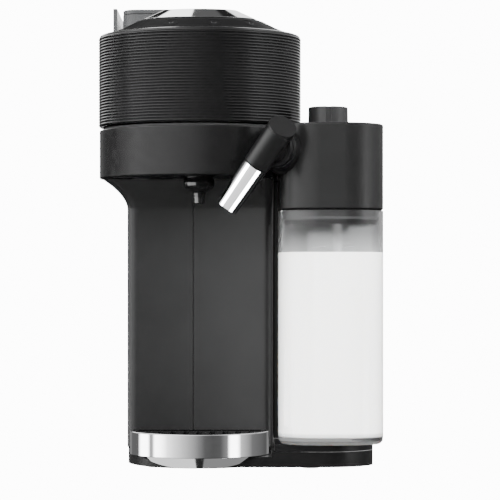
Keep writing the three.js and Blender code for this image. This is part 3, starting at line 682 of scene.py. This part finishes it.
FLARE_LOW = 180
FLARE_HIGH = 200.7
FLARE_SPREAD = 16.5
COLUMN_HALF = 51.5
COLUMN_FRONT = 5
COLUMN_HOLLOW = 7


def flare(z):
    rise = max(0.0, (z - FLARE_LOW) / (FLARE_HIGH - FLARE_LOW))
    return FLARE_SPREAD * rise ** 1.9


def column_half(z, inset, seam, rear, side):
    """Half of the column's plan at height z, from the rear round the corner to the seam."""
    spread = flare(z)
    front = COLUMN_FRONT - spread + inset
    narrow = COLUMN_HALF - inset
    wide = narrow + spread if side < 0 else narrow
    corner = 6 - min(inset, 3)
    points = []
    steps = 30
    for i in range(steps + 1):
        y = rear + (front + corner - rear) * i / steps
        round_side = math.sqrt(max(0.0, (housing_radius() - inset) ** 2 - y ** 2))
        points.append((max(narrow, min(wide, round_side)), y))
    points += arc(wide - corner, front + corner, corner, corner, 0, -90, 8)[1:]
    half_face = COLUMN_HALF - 6 + spread
    face_steps = 24
    start = wide - corner
    target = abs(seam) * (1 if (seam < 0) == (side < 0) else -1)
    for i in range(1, face_steps + 1):
        x = start + (target - start) * i / face_steps
        points.append((x, front + COLUMN_HOLLOW * (1 - (x / half_face) ** 2)))
    return [(side * x, y) for x, y in points]


def seam_lap(levels, seam):
    """A strip behind the seam that the right half laps over, so that no light passes."""
    rings = []
    for z in levels:
        spread = flare(z)
        half_face = COLUMN_HALF - 6 + spread
        face = COLUMN_FRONT - spread + COLUMN_HOLLOW * (1 - (seam / half_face) ** 2)
        near, far = face + 1.6, face + 4.2
        left, right = seam - 3, seam + 3
        rings.append([(left, near, z), (right, near, z), (right, far, z), (left, far, z)])
    return skinned(rings)


def add_column():
    seam = -4.8
    gap = 0.15
    for name, side in (("column_left", -1), ("column_right", 1)):
        low, high = span(name)
        levels = [low.z, low.z + 0.6, 60, 120, 160, 176]
        levels += [FLARE_LOW + (FLARE_HIGH - FLARE_LOW) * i / 22 for i in range(23)]
        edge = seam - gap if side < 0 else seam + gap
        rings = []
        for z in levels:
            outer = column_half(z, 0, edge, high.y, side)
            inner = column_half(z, WALL, edge, high.y, side)
            ring = outer + inner[::-1]
            rings.append([(x, y, z) for x, y in ring])
        shell = raw(name + "_skin", skinned(rings))
        if side < 0:
            drawer_low, drawer_high = span("capsule_container")
            carve(shell, box_mesh(-80, -44, drawer_low.y - 0.4, drawer_high.y + 0.4,
                                  drawer_low.z - 0.4, drawer_high.z + 0.4))
        soften(shell, 0.35, 50, 2)
        piece(name + "_skin", shell, name, COLUMN_BLACK, sharp=32)
        if side < 0:
            piece("column_lap", seam_lap(levels, seam), name, COLUMN_BLACK, stands_for=False)


# ---------------------------------------- base, tray and feet
TRAY_CENTRE = -15


def tray_path(inset, steps=120):
    """The line of the tray's front, from its left rear end round to its right one."""
    low, high = span("tray_front")
    half = (high.x - low.x) / 2 - inset
    depth = TRAY_CENTRE - low.y - inset
    ellipse = arc(0, TRAY_CENTRE, half, depth, 180, 360, steps)
    return [(-half, high.y)] + ellipse + [(half, high.y)]


def tray_outline(inset):
    path = tray_path(inset, 96)
    return path[1:] + path[:1]


def add_tray():
    low, high = span("tray_front")
    band_low = 9.2
    section = rounded([
        (0, band_low, 0.3), (0, high.z, 0.8), (2.2, high.z, 0.7), (2.2, band_low),
    ])
    lines = [tray_path(inset) for inset, _ in section]
    rings = [[(*line[i], z) for line, (_, z) in zip(lines, section)] for i in range(len(lines[0]))]
    piece("tray_band", skinned(rings), "tray_front", sharp=30)

    rings = [
        [(x, y, z) for x, y in arc(0, TRAY_CENTRE, half, depth, 180, 360, 96)]
        for z, half, depth in ((low.z, 34.6, 44.5), (9.1, 42.1, 55.8), (9.3, 42.1, 55.8))
    ]
    cone = raw("tray_cone", skinned(rings))
    carve(cone, base_space(0.4, 0, 9.05))
    piece("tray_cone", cone, "tray_front", sharp=30, stands_for=False)

    low, high = span("drip_basin")
    basin = rounded([
        (20, low.z), (2.6, low.z, 0.8), (2.6, high.z, 0.5), (4.4, high.z, 0.5),
        (4.4, low.z + 2, 1.5), (20, low.z + 2),
    ], False)
    piece("basin", stacked(tray_outline, basin), "drip_basin")
    add_grid()


def base_space(clearance, z0, z1):
    """The base's outline, grown by clearance, as a solid that clears it."""
    centre_y, half, depth = 17, 51 + clearance, 75 + clearance
    front = -46 - clearance
    meet = math.degrees(math.asin((front - centre_y) / depth))
    shape = arc(0, centre_y, half, depth, 180, 360 + meet, 72)
    shape += [(130, front), (130, 80), (-half, 80)]
    return skinned([[(x, y, z) for x, y in shape] for z in (z0, z1)])


def add_grid():
    low, high = span("drip_grid")
    rim = 3.4
    plate = rounded([
        (2.6, low.z, 0.4), (2.6, high.z - 0.2, 0.8), (rim, high.z, 0.4), (rim + 1.6, high.z, 0.4),
        (rim + 2.2, high.z - 0.5, 0.4), (30, high.z - 0.5),
    ], False)
    grid = raw("cup_grid", stacked(tray_outline, [(30, low.z)] + plate))
    half, depth = 45.6, 53.4
    slots = []
    for i in range(-4, 5):
        x = i * 9
        reach = depth * math.sqrt(1 - (x / half) ** 2) - 8.5
        front, rear = TRAY_CENTRE - reach, high.y - 8.5
        slot = soft_box(x - 1.9, x + 1.9, front, rear, 1.9, 6)
        slots.append(stacked(slot, [(0, 10), (0, 40)]))
    carve(grid, *slots)
    soften(grid, 0.35, 50, 2)
    piece("cup_grid", grid, "drip_grid", sharp=35)


SHELF_CORNER = 36
SHELF_LEFT = COLUMN_HALF + 0.5
DOCK_FRONT = 21.6
DOCK_RIGHT = 76.4


def add_base():
    refined("base_plate", 0.7, BASE_BLACK, angle=50)
    add_shelf()
    for i in range(1, 7):
        add_foot(f"foot_{i}")


def add_shelf():
    """The raised shelf that the carafe stands on, with a step round the foot of the dock."""
    low, high = span("shelf_cover")

    def outline(inset):
        left, right = SHELF_LEFT + inset, high.x - inset
        front, rear = low.y + inset, high.y - inset
        corner = SHELF_CORNER - inset
        step = DOCK_FRONT - inset
        curve = arc(right - corner, front + corner, corner, corner, -90, 0, 32)
        return [(left, step), (left, front)] + curve + [
            (right, rear), (DOCK_RIGHT + inset, rear), (DOCK_RIGHT + inset, step)]

    profile = rounded([(0, low.z), (0, high.z, 0.7), (1.2, high.z, 0.5)], False)
    piece("shelf_cover_fine", stacked(outline, profile), "shelf_cover", BASE_BLACK)


def add_foot(node):
    low, high = span(node)
    pad = rounded([
        (0, low.z + 0.5), (2.6, low.z + 0.5, 0.4), (3.2, low.z, 0.4), (6, low.z, 0.7),
        (6, high.z, 0.4), (0, high.z),
    ], False)
    piece(node + "_pad", turned(pad, centre=middle_of(node), steps=48), node)


# ---------------------------------------- rear body
def add_rear():
    for node, width in (
        ("dock_housing", 1.2), ("rear_deck", 1.0), ("rear_housing", 0.9), ("rear_cover", 0.9),
        ("tower_shell", 0.8), ("tower_cap", 0.9), ("tank_seat", 0.9), ("hinge_bracket", 0.5),
        ("capsule_container", 0.6), ("power_inlet", 0.4), ("steam_port", 0.5),
        ("hinge_pin", 0.4),
    ):
        refined(node, width, angle=45)
    add_inlet_pins()
    add_screws()


def add_inlet_pins():
    """Three contact blades in the mains inlet."""
    low, high = span("power_inlet")
    middle_x = (low.x + high.x) / 2
    middle_z = (low.z + high.z) / 2
    for i, (dx, dz) in enumerate(((-7, -1.5), (7, -1.5), (0, 2.5))):
        blade = soft_box(dx + middle_x - 1, dx + middle_x + 1,
                         middle_z + dz - 2, middle_z + dz + 2, 0.9, 4)
        depth = [(0.3, high.y - 14.3), (0, high.y - 13.5), (0, high.y - 5), (0.5, high.y - 4)]
        rings = [[(x, y, z) for x, z in blade(inset)] for inset, y in depth]
        piece(f"inlet_blade_{i + 1}", skinned(rings), "power_inlet", STEEL, stands_for=False)


def add_screws():
    """Recessed cross-head screws on the rear cover and under the base."""
    low, high = span("rear_cover")
    spots = [(low.x + 12, high.z - 14), (high.x - 12, high.z - 14),
             (low.x + 12, low.z + 70), (high.x - 12, low.z + 70)]
    for i, (x, z) in enumerate(spots):
        add_screw(f"cover_screw_{i + 1}", (x, high.y - 0.2, z), (0, 1, 0), "rear_cover")
    low, high = span("base_plate")
    for i, (x, y) in enumerate(((-30, 60), (40, 60), (-30, 200), (55, 200), (95, 0))):
        add_screw(f"base_screw_{i + 1}", (x, y, low.z + 0.1), (0, 0, -1), "base_plate")


def add_screw(name, origin, direction, node):
    head = raw(name, along(turned(rounded([
        (0, -1.5), (3.6, -1.5), (3.6, 0, 0.3), (2.6, 0.5, 1.2), (0, 0.6)], False),
        steps=40), origin, direction))
    for turn in (0, 90):
        bar = box_mesh(-2.1, 2.1, -0.45, 0.45, -0.6, 2)
        spin = Matrix.Rotation(math.radians(turn), 3, "Z")
        verts = [tuple(spin @ Vector(v)) for v in bar[0]]
        carve(head, along((verts, bar[1]), origin, direction))
    piece(name, head, node, STEEL, sharp=30, stands_for=False)


# ---------------------------------------- water tank
def add_tank():
    low, high = span("water_tank")
    lid_low, lid_high = span("tank_lid")
    left, right = lid_low.x, lid_high.x
    rim = 334
    outline = soft_box(left, right, low.y, high.y, 12, 16)
    wall = 2.2
    body = rounded([
        (30, low.z), (1, low.z, 2.4), (0, low.z + 3, 2.4), (0, rim, 0.5), (wall, rim, 0.5),
        (wall, low.z + wall, 4), (30, low.z + wall),
    ], False)
    shell = raw("tank_shell", stacked(outline, body))
    valve_low, valve_high = span("tank_valve")
    centre = middle_of("tank_valve")
    carve(shell, rod(4, 200, 240, centre))
    piece("tank_shell", shell, "water_tank")

    rail = rounded([
        (left + 0.6, 321.5), (low.x, 321.5, 0.4), (low.x, high.z, 0.5), (low.x + 3.2, high.z, 0.5),
        (low.x + 3.2, 322.6, 0.4), (left + 0.6, 322.6),
    ], steps=4)
    front, rear = 168, 282
    ends = [(0.9, front), (0.25, front + 0.25), (0, front + 0.9),
            (0, rear - 0.9), (0.25, rear - 0.25), (0.9, rear)]
    middle_x = sum(x for x, _ in rail) / len(rail)
    middle_z = sum(z for _, z in rail) / len(rail)
    rings = []
    for inset, y in ends:
        shrink = 1 - inset * 0.02
        rings.append([
            (middle_x + (x - middle_x) * shrink, y, middle_z + (z - middle_z) * shrink)
            for x, z in rail])
    piece("tank_rail", skinned(rings), "water_tank", stands_for=False)

    lid = rounded([
        (30, lid_low.z), (2.5, lid_low.z), (0.3, lid_low.z, 0.4), (0, lid_high.z, 1.3),
        (4, lid_high.z), (30, lid_high.z),
    ], False)
    piece("tank_cover", stacked(outline, lid), "tank_lid")
    piece("tank_plunger", turned(rounded([
        (0, valve_low.z), (3, valve_low.z, 0.5), (3, 227.5), (7, 227.5, 0.4),
        (7, valve_high.z, 0.8), (0, valve_high.z)], False),
        centre=centre, steps=48), "tank_valve")


# ---------------------------------------- milk carafe
JUG_CORNER = 28
MILK_LEVEL = 148.2


def jug_plan():
    low, high = span("milk_jug")
    return soft_box(low.x, high.x, low.y, high.y, JUG_CORNER, 24)


def add_jug():
    low, high = span("milk_jug")
    wall = 2.2
    floor = 5
    plan = jug_plan()
    glass = rounded([
        (26, low.z), (2.4, low.z, 1.2), (0.3, low.z + 1.8, 2), (0, low.z + 6, 2), (0, high.z, 0.7),
        (wall, high.z, 0.7), (wall, low.z + 7.5, 3), (3.6, low.z + floor, 2), (26, low.z + floor),
    ], False)
    piece("jug_glass", stacked(plan, glass), "milk_jug", sharp=30)

    tube_low, tube_high = span("suction_tube")
    centre = middle_of("suction_tube")
    wet = 0.3  # the milk laps into the wall, so that no air shows between them
    bottom, side = low.z + floor - wet, wall - wet
    fill = rounded([
        (25.9, bottom), (3.6 - wet, bottom, 2), (side, low.z + 7.5, 3),
        (side, MILK_LEVEL + 0.7, 0.5), (wall + 1.6, MILK_LEVEL, 0.9), (25.9, MILK_LEVEL),
    ], False)
    body = raw("milk_fill", stacked(plan, fill))
    carve(body, rod(3.15, tube_low.z - 0.2, 200, centre, 40))
    piece("milk_fill", body, "milk_jug", MILK, stands_for=False)

    # The fill line: two short dashes printed on the front of the glass.
    mark_z = 152.2
    for i, (x0, x1) in enumerate(((79, 85.5), (98.5, 105))):
        dash = box_mesh(x0, x1, low.y - 0.06, low.y + 0.12, mark_z - 0.22, mark_z + 0.22)
        piece(f"fill_mark_{i + 1}", dash, "milk_jug", PRINT, stands_for=False)
    rings = [(1.6, tube_low.z), (3, tube_low.z, 0.3), (3, tube_high.z), (1.6, tube_high.z)]
    piece("straw", turned(rounded(rings), closed=True, centre=centre, steps=40), "suction_tube")


BOSS_TURN = math.radians(23.6)
SPOUT_TILT = math.radians(37.4)


def boss_frame():
    """The spout's pivot, the way the boss points, and the way up the spout."""
    pivot = pivot_of("milk_spout")
    out = Vector((-math.sin(BOSS_TURN), -math.cos(BOSS_TURN), 0))
    up = Vector((-out.y, out.x, 0)) * math.sin(SPOUT_TILT)
    up.z = math.cos(SPOUT_TILT)
    return pivot, out, up


def add_lid():
    low, high = span("milk_lid")
    plan = jug_plan()
    seat = span("milk_jug")[1].z + 0.4
    top = high.z
    plug = 2.9
    outer = rounded([
        (20, low.z), (plug + 2.4, low.z), (plug + 1.8, low.z, 0.5), (plug, 170.6, 0.4),
        (plug, seat, 0.3), (0.9, seat), (0, seat + 0.8, 0.6), (0, top, 1.4), (6, top), (20, top),
    ], False)
    lid = raw("lid_body", stacked(plan, outer))
    pivot, out, _ = boss_frame()
    boss = rounded([
        (0, -33), (18.6, -33), (17.2, -26.5, 8), (14.3, -19, 5), (13.6, -15.8, 0.7),
        (12.4, -15.2, 0.3), (12.4, -13.6, 0.3), (12.9, -13.2, 0.4), (12.9, -10.4, 0.6),
        (11.8, -9.8, 0.5), (0, -9.8),
    ], False, 8)
    carve(lid, along(turned(boss, steps=96), pivot, out), operation="UNION")
    port_low, port_high = span("steam_port")
    port = ((port_low.x + port_high.x) / 2, 30, (port_low.z + port_high.z) / 2)
    carve(
        lid,
        stacked(plan, [(6, low.z - 2), (6, top - 4)]),
        rod(6.5, 225, 240, middle_of("froth_knob")),
        along(rod(6.6, 0, 30), port, (0, -1, 0)),
    )
    piece("lid_body", lid, "milk_lid", sharp=30)
    ring = [(2.45, 171.2), (3.6, 171.2), (3.6, 172.8), (2.45, 172.8)]
    piece("lid_gasket", stacked(plan, ring, closed=True), "lid_seal")
    add_knob()


def add_knob():
    low, high = span("froth_knob")
    centre = ((low.x + high.x) / 2, high.y - 14)
    seat = 236.9
    body = rounded([
        (0, low.z), (6, low.z), (6, seat), (14, seat, 0.3), (13.8, seat + 4),
        (13.6, high.z, 1.0), (11.6, high.z, 0.5), (11.1, high.z - 0.35, 0.4), (0, high.z - 0.3),
    ], False)
    knob = raw("dial_body", turned(body, centre=centre, steps=128))
    x, y = centre
    carve(knob, box_mesh(x - 1.75, x + 1.75, y - 20, y - 11.4, seat - 1, high.z + 2))
    soften(knob, 0.3, 50, 2)
    piece("dial_body", knob, "froth_knob", KNOB_GREY)


def add_spout():
    pivot, out, up = boss_frame()
    below, reach = 15.4, 50.5
    sleeve = raw("sleeve", along(turned(rounded([
        (0, -below), (8.3, -below), (8.9, -below + 0.5, 0.4), (9.4, 8), (9.45, 11.6, 0.2),
        (9.25, 11.8), (9.25, 12.3), (9.55, 12.5, 0.2), (9.7, 26), (0, 26),
    ], False), steps=128), pivot, up))
    slant = Vector((0.39, -0.64, 0.66)).normalized()
    carve(
        sleeve,
        along(rod(40, 0, 60, steps=32), pivot + up * 17.3, slant),
        along(rod(6, -below - 1, -below + 3), pivot, up),
    )
    carve(sleeve, along(turned(rounded([(0, -9.5), (9.6, -9.5, 0.3), (9.6, 0), (0, 0)], False),
                               steps=64), pivot, out), operation="UNION")
    soften(sleeve, 0.6)
    piece("sleeve", sleeve, "spout_sleeve", sharp=28)

    tip, root = 7.6, 8.6
    nozzle = rounded([
        (1.9, -below - 4), (6.3, -reach + 6), (6.6, -reach + 0.6, 0.3), (7.1, -reach, 0.4),
        (tip, -reach + 0.5, 0.5), (8.1, -33), (root, -below - 0.35, 0.25), (5.6, -below - 0.35),
        (5.6, -below + 2.6), (1.9, -below + 2.6),
    ])
    piece("nozzle", along(turned(nozzle, closed=True, steps=128), pivot, up), "spout_nozzle",
          sharp=30)


# ---------------------------------------- hidden nodes and stage
def finish_nodes():
    """Nodes whose own shape is right get the finish of their slot."""
    for name, node in frame["nodes"].items():
        if not node.material_slots:
            node.data.materials.append(None)
        for entry in node.material_slots:
            entry.material = FINISHES[NODE_SLOT[name]]


def hide_from_mirrors():
    """Chrome and gloss mirror the studio alone, not the bright carafe, its nozzle or the base.
    The jug casts no shadow, so that the lamps reach the milk in it."""
    bpy.data.objects["jug_glass"].visible_shadow = False
    for name in ("jug_glass", "milk_fill", "shelf_cover_fine", "base_plate_fine",
                 "dock_housing_fine", "nozzle"):
        bpy.data.objects[name].visible_glossy = False


def add_floor():
    verts = [(-6000, -6000, 0), (6000, -6000, 0), (6000, 6000, 0), (-6000, 6000, 0)]
    floor = raw("floor", (verts, [(0, 1, 2, 3)]))
    floor.data.materials.append(surface(
        "floor", ((400, 2), (0.88, 0.88, 0.88), (0.92, 0.92, 0.92)), ((60, 2), 0.75, 0.9)))
    floor.visible_camera = False
    floor.visible_glossy = False
    floor.visible_transmission = False


# The studio seen in reflections: (compass angle, brightness) round the machine, where 0 is the
# camera's side and negative angles are on the left. The walls stand at the horizon and light the
# upright black plastics. The high walls stand above them: the round of each rib mirrors both.
# The cards, in a low band, are what the chrome of the drip tray mirrors.
WALLS = [
    (-180, 0.5), (-160, 0.4), (-137, 0.2), (-114, 0.12), (-106, 0.3), (-97, 0.95), (-83, 1.6),
    (-70, 1.85), (-46, 1.75), (-35, 1.6), (-24, 1.35), (-14, 1.15), (-3, 0.85), (7, 0.38),
    (17, 0.1), (28, 0.06), (39, 0.08), (48, 0.4), (60, 0.9), (73, 1.1), (90, 1), (105, 0.55),
    (126, 0.55), (144, 0.5), (165, 0.35), (180, 0.5),
]
HIGH_WALLS = [
    (-180, 1.2), (-160, 1.8), (-150, 4.4), (-144, 4), (-131, 1.6), (-119, 1), (-109, 0.75),
    (-100, 2), (-84, 4.5), (-69, 4.5), (-43, 4), (-20, 2.8), (2, 1.7), (25, 0.8), (48, 1.4),
    (75, 3), (90, 2.5), (107, 1.5), (129, 1.2), (152, 1.1), (180, 1.2),
]
CARDS = [
    (-180, 0.4), (-163, 0.4), (-152, 0.2), (-127, 0.2), (-119, 14), (-103, 14), (-97, 0.9),
    (-91, 0.9), (-85, 12), (-74, 10), (-60, 3.8), (-47, 2.4), (-30, 1.4), (-18, 0.95), (0, 0.42),
    (12, 0.2), (28, 0.16), (42, 0.18), (56, 0.5), (62, 14), (74, 14), (82, 1.3), (90, 0.95),
    (108, 0.3), (150, 0.14), (165, 0.4), (180, 0.4),
]
BRIGHTEST = 16  # a colour ramp holds 0 to 1, so its stops are shares of this
GROUND_SHARE = 0.08  # how much of the walls' light comes from below the horizon
CEILING = 0.2
BACKDROP = 16  # what the camera sees behind the machine
BEHIND_GLASS = 0.6  # the backdrop as seen through the clear plastics


class Sky:
    """The world's node tree, with short calls for the sums that paint it by direction."""

    def __init__(self):
        world = bpy.data.worlds.new("studio")
        world.use_nodes = True
        bpy.context.scene.world = world
        self.nodes, self.links = world.node_tree.nodes, world.node_tree.links
        self.nodes.clear()

    def calc(self, operation, *values):
        node = self.nodes.new("ShaderNodeMath")
        node.operation = operation
        for socket, value in zip(node.inputs, values):
            if isinstance(value, (int, float)):
                socket.default_value = value
            else:
                self.links.new(value, socket)
        return node.outputs["Value"]

    def rise(self, value, start, end):
        """0 before start and 1 after end, softly."""
        node = self.nodes.new("ShaderNodeMapRange")
        node.interpolation_type = "SMOOTHSTEP"
        node.inputs["From Min"].default_value = start
        node.inputs["From Max"].default_value = end
        self.links.new(value, node.inputs["Value"])
        return node.outputs["Result"]

    def blend(self, factor, first, second):
        """first where factor is 0, second where it is 1."""
        change = self.calc("SUBTRACT", second, first)
        return self.calc("MULTIPLY_ADD", factor, change, first)

    def both(self, *masks):
        product = masks[0]
        for mask in masks[1:]:
            product = self.calc("MULTIPLY", product, mask)
        return product

    def inverse(self, mask):
        return self.calc("SUBTRACT", 1, mask)

    def band(self, turn, stops):
        node = self.nodes.new("ShaderNodeValToRGB")
        elements = node.color_ramp.elements
        for index, (degrees, value) in enumerate(stops):
            place = (degrees + 180) / 360
            stop = elements[index] if index < 2 else elements.new(place)
            stop.position = place
            level = value / BRIGHTEST
            stop.color = (level, level, level, 1)
        self.links.new(turn, node.inputs["Fac"])
        return self.calc("MULTIPLY", node.outputs["Color"], BRIGHTEST)


def add_world():
    """White behind everything the camera sees; reflections see a studio."""
    sky = Sky()
    split = sky.nodes.new("ShaderNodeSeparateXYZ")
    generated = sky.nodes.new("ShaderNodeTexCoord").outputs["Generated"]
    sky.links.new(generated, split.inputs["Vector"])
    x, y, z = split.outputs
    angle = sky.calc("ARCTAN2", x, sky.calc("MULTIPLY", y, -1))
    turn = sky.calc("MULTIPLY_ADD", angle, 0.5 / math.pi, 0.5)
    walls = sky.band(turn, WALLS)
    cards = sky.band(turn, CARDS)
    below = sky.inverse(sky.rise(z, -0.1, -0.02))
    seen = sky.blend(below, walls, sky.calc("MULTIPLY", walls, GROUND_SHARE))
    seen = sky.blend(sky.rise(z, 0.1, 0.2), seen, sky.band(turn, HIGH_WALLS))
    low_band = sky.both(sky.rise(z, -0.1, -0.088), sky.inverse(sky.rise(z, -0.045, -0.032)))
    seen = sky.blend(low_band, seen, cards)
    seen = sky.blend(sky.rise(z, 0.6, 0.85), seen, CEILING)
    seen = lever_patches(sky, x, y, z, seen)

    rays = sky.nodes.new("ShaderNodeLightPath").outputs
    seen = sky.blend(rays["Is Transmission Ray"], seen, BEHIND_GLASS)
    seen = sky.blend(rays["Is Camera Ray"], seen, BACKDROP)
    background = sky.nodes.new("ShaderNodeBackground")
    sky.links.new(seen, background.inputs["Strength"])
    output = sky.nodes.new("ShaderNodeOutputWorld")
    sky.links.new(background.outputs["Background"], output.inputs["Surface"])


def lever_patches(sky, x, y, z, seen):
    """High panels behind the machine, which the chrome lever on top of it mirrors."""
    across = sky.calc("DIVIDE", x, sky.calc("MAXIMUM", y, 0.01))
    behind = sky.both(
        sky.rise(y, 0.3, 0.35),
        sky.rise(across, -0.34, -0.3), sky.inverse(sky.rise(across, 0.3, 0.34)),
        sky.rise(z, 0.03, 0.08), sky.inverse(sky.rise(z, 0.86, 0.9)),
    )
    left = sky.inverse(sky.rise(across, -0.1, -0.085))
    left_panel = sky.blend(sky.rise(z, 0.48, 0.53), 0.03, 5.0)
    right_panel = sky.blend(sky.rise(z, 0.54, 0.58), 3.0, 0.03)
    right_panel = sky.blend(sky.rise(z, 0.675, 0.7), right_panel, 0.17)
    panels = sky.blend(left, right_panel, left_panel)
    return sky.blend(behind, seen, panels)


def add_light(name, place, target, size, watts):
    data = bpy.data.lights.new(name, "AREA")
    data.shape = "RECTANGLE"
    data.size, data.size_y = size
    data.energy = watts
    light = bpy.data.objects.new(name, data)
    light.location = place
    light.rotation_euler = (Vector(target) - Vector(place)).to_track_quat("-Z", "Y").to_euler()
    light.visible_glossy = False
    light.visible_transmission = False
    bpy.context.collection.objects.link(light)
    return light


def add_lights():
    add_light("front_fill", (0.1, -2.4, 1.3), (0, 0, 0.12), (1.8, 1.4), 330)
    add_light("left_fill", (-2.0, -0.8, 1.2), (0, 0, 0.15), (1.4, 1.6), 120)
    add_light("right_fill", (2.0, -0.5, 1.2), (0, 0, 0.15), (1.4, 1.6), 120)
    add_light("overhead", (0, 0.2, 2.4), (0, 0, 0), (2.6, 2.6), 220)
    add_light("rear_fill", (0.3, 2.4, 1.5), (0, 0, 0.12), (1.8, 1.4), 100)


CARD_DISTANCE = 0.5
CARD_PIECES = {
    "spout_nozzle": "nozzle", "tray_front": "tray_cone", "coffee_outlet": "outlet_spout",
}


def add_card(name, node, direction, size, watts):
    """A bright card, aimed at a node, that lights only the node's piece and shows in it."""
    low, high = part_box(node)
    middle = (low + high) / 2
    place = middle + Vector(direction).normalized() * CARD_DISTANCE
    card = add_light(name, place, middle, size, watts)
    card.visible_glossy = True
    lit = bpy.data.collections.new(name)
    lit.objects.link(bpy.data.objects[CARD_PIECES[node]])
    card.light_linking.receiver_collection = lit


def add_cards():
    add_card("nozzle_card_left", "spout_nozzle", (-0.87, -0.38, 0.24), (0.26, 0.3), 6)
    add_card("nozzle_card_front", "spout_nozzle", (-0.2, -0.9, -0.34), (0.62, 0.5), 1.6)
    add_card("nozzle_card_right", "spout_nozzle", (0.48, -0.5, -0.74), (0.3, 0.3), 8)
    add_card("outlet_card", "coffee_outlet", (-0.87, -0.5, 0.06), (0.75, 0.5), 5)
    add_card("tray_card_left", "tray_front", (-0.42, 0.3, -0.45), (0.6, 0.6), 1.55)
    add_card("tray_card_right", "tray_front", (0.42, 0.3, -0.45), (0.6, 0.6), 0.35)


add_camera()
add_head()
add_lever()
add_lower_head()
add_column()
add_tray()
add_base()
add_rear()
add_tank()
add_jug()
add_lid()
add_spout()
hide_from_mirrors()
finish_nodes()
add_floor()
add_world()
add_lights()
add_cards()
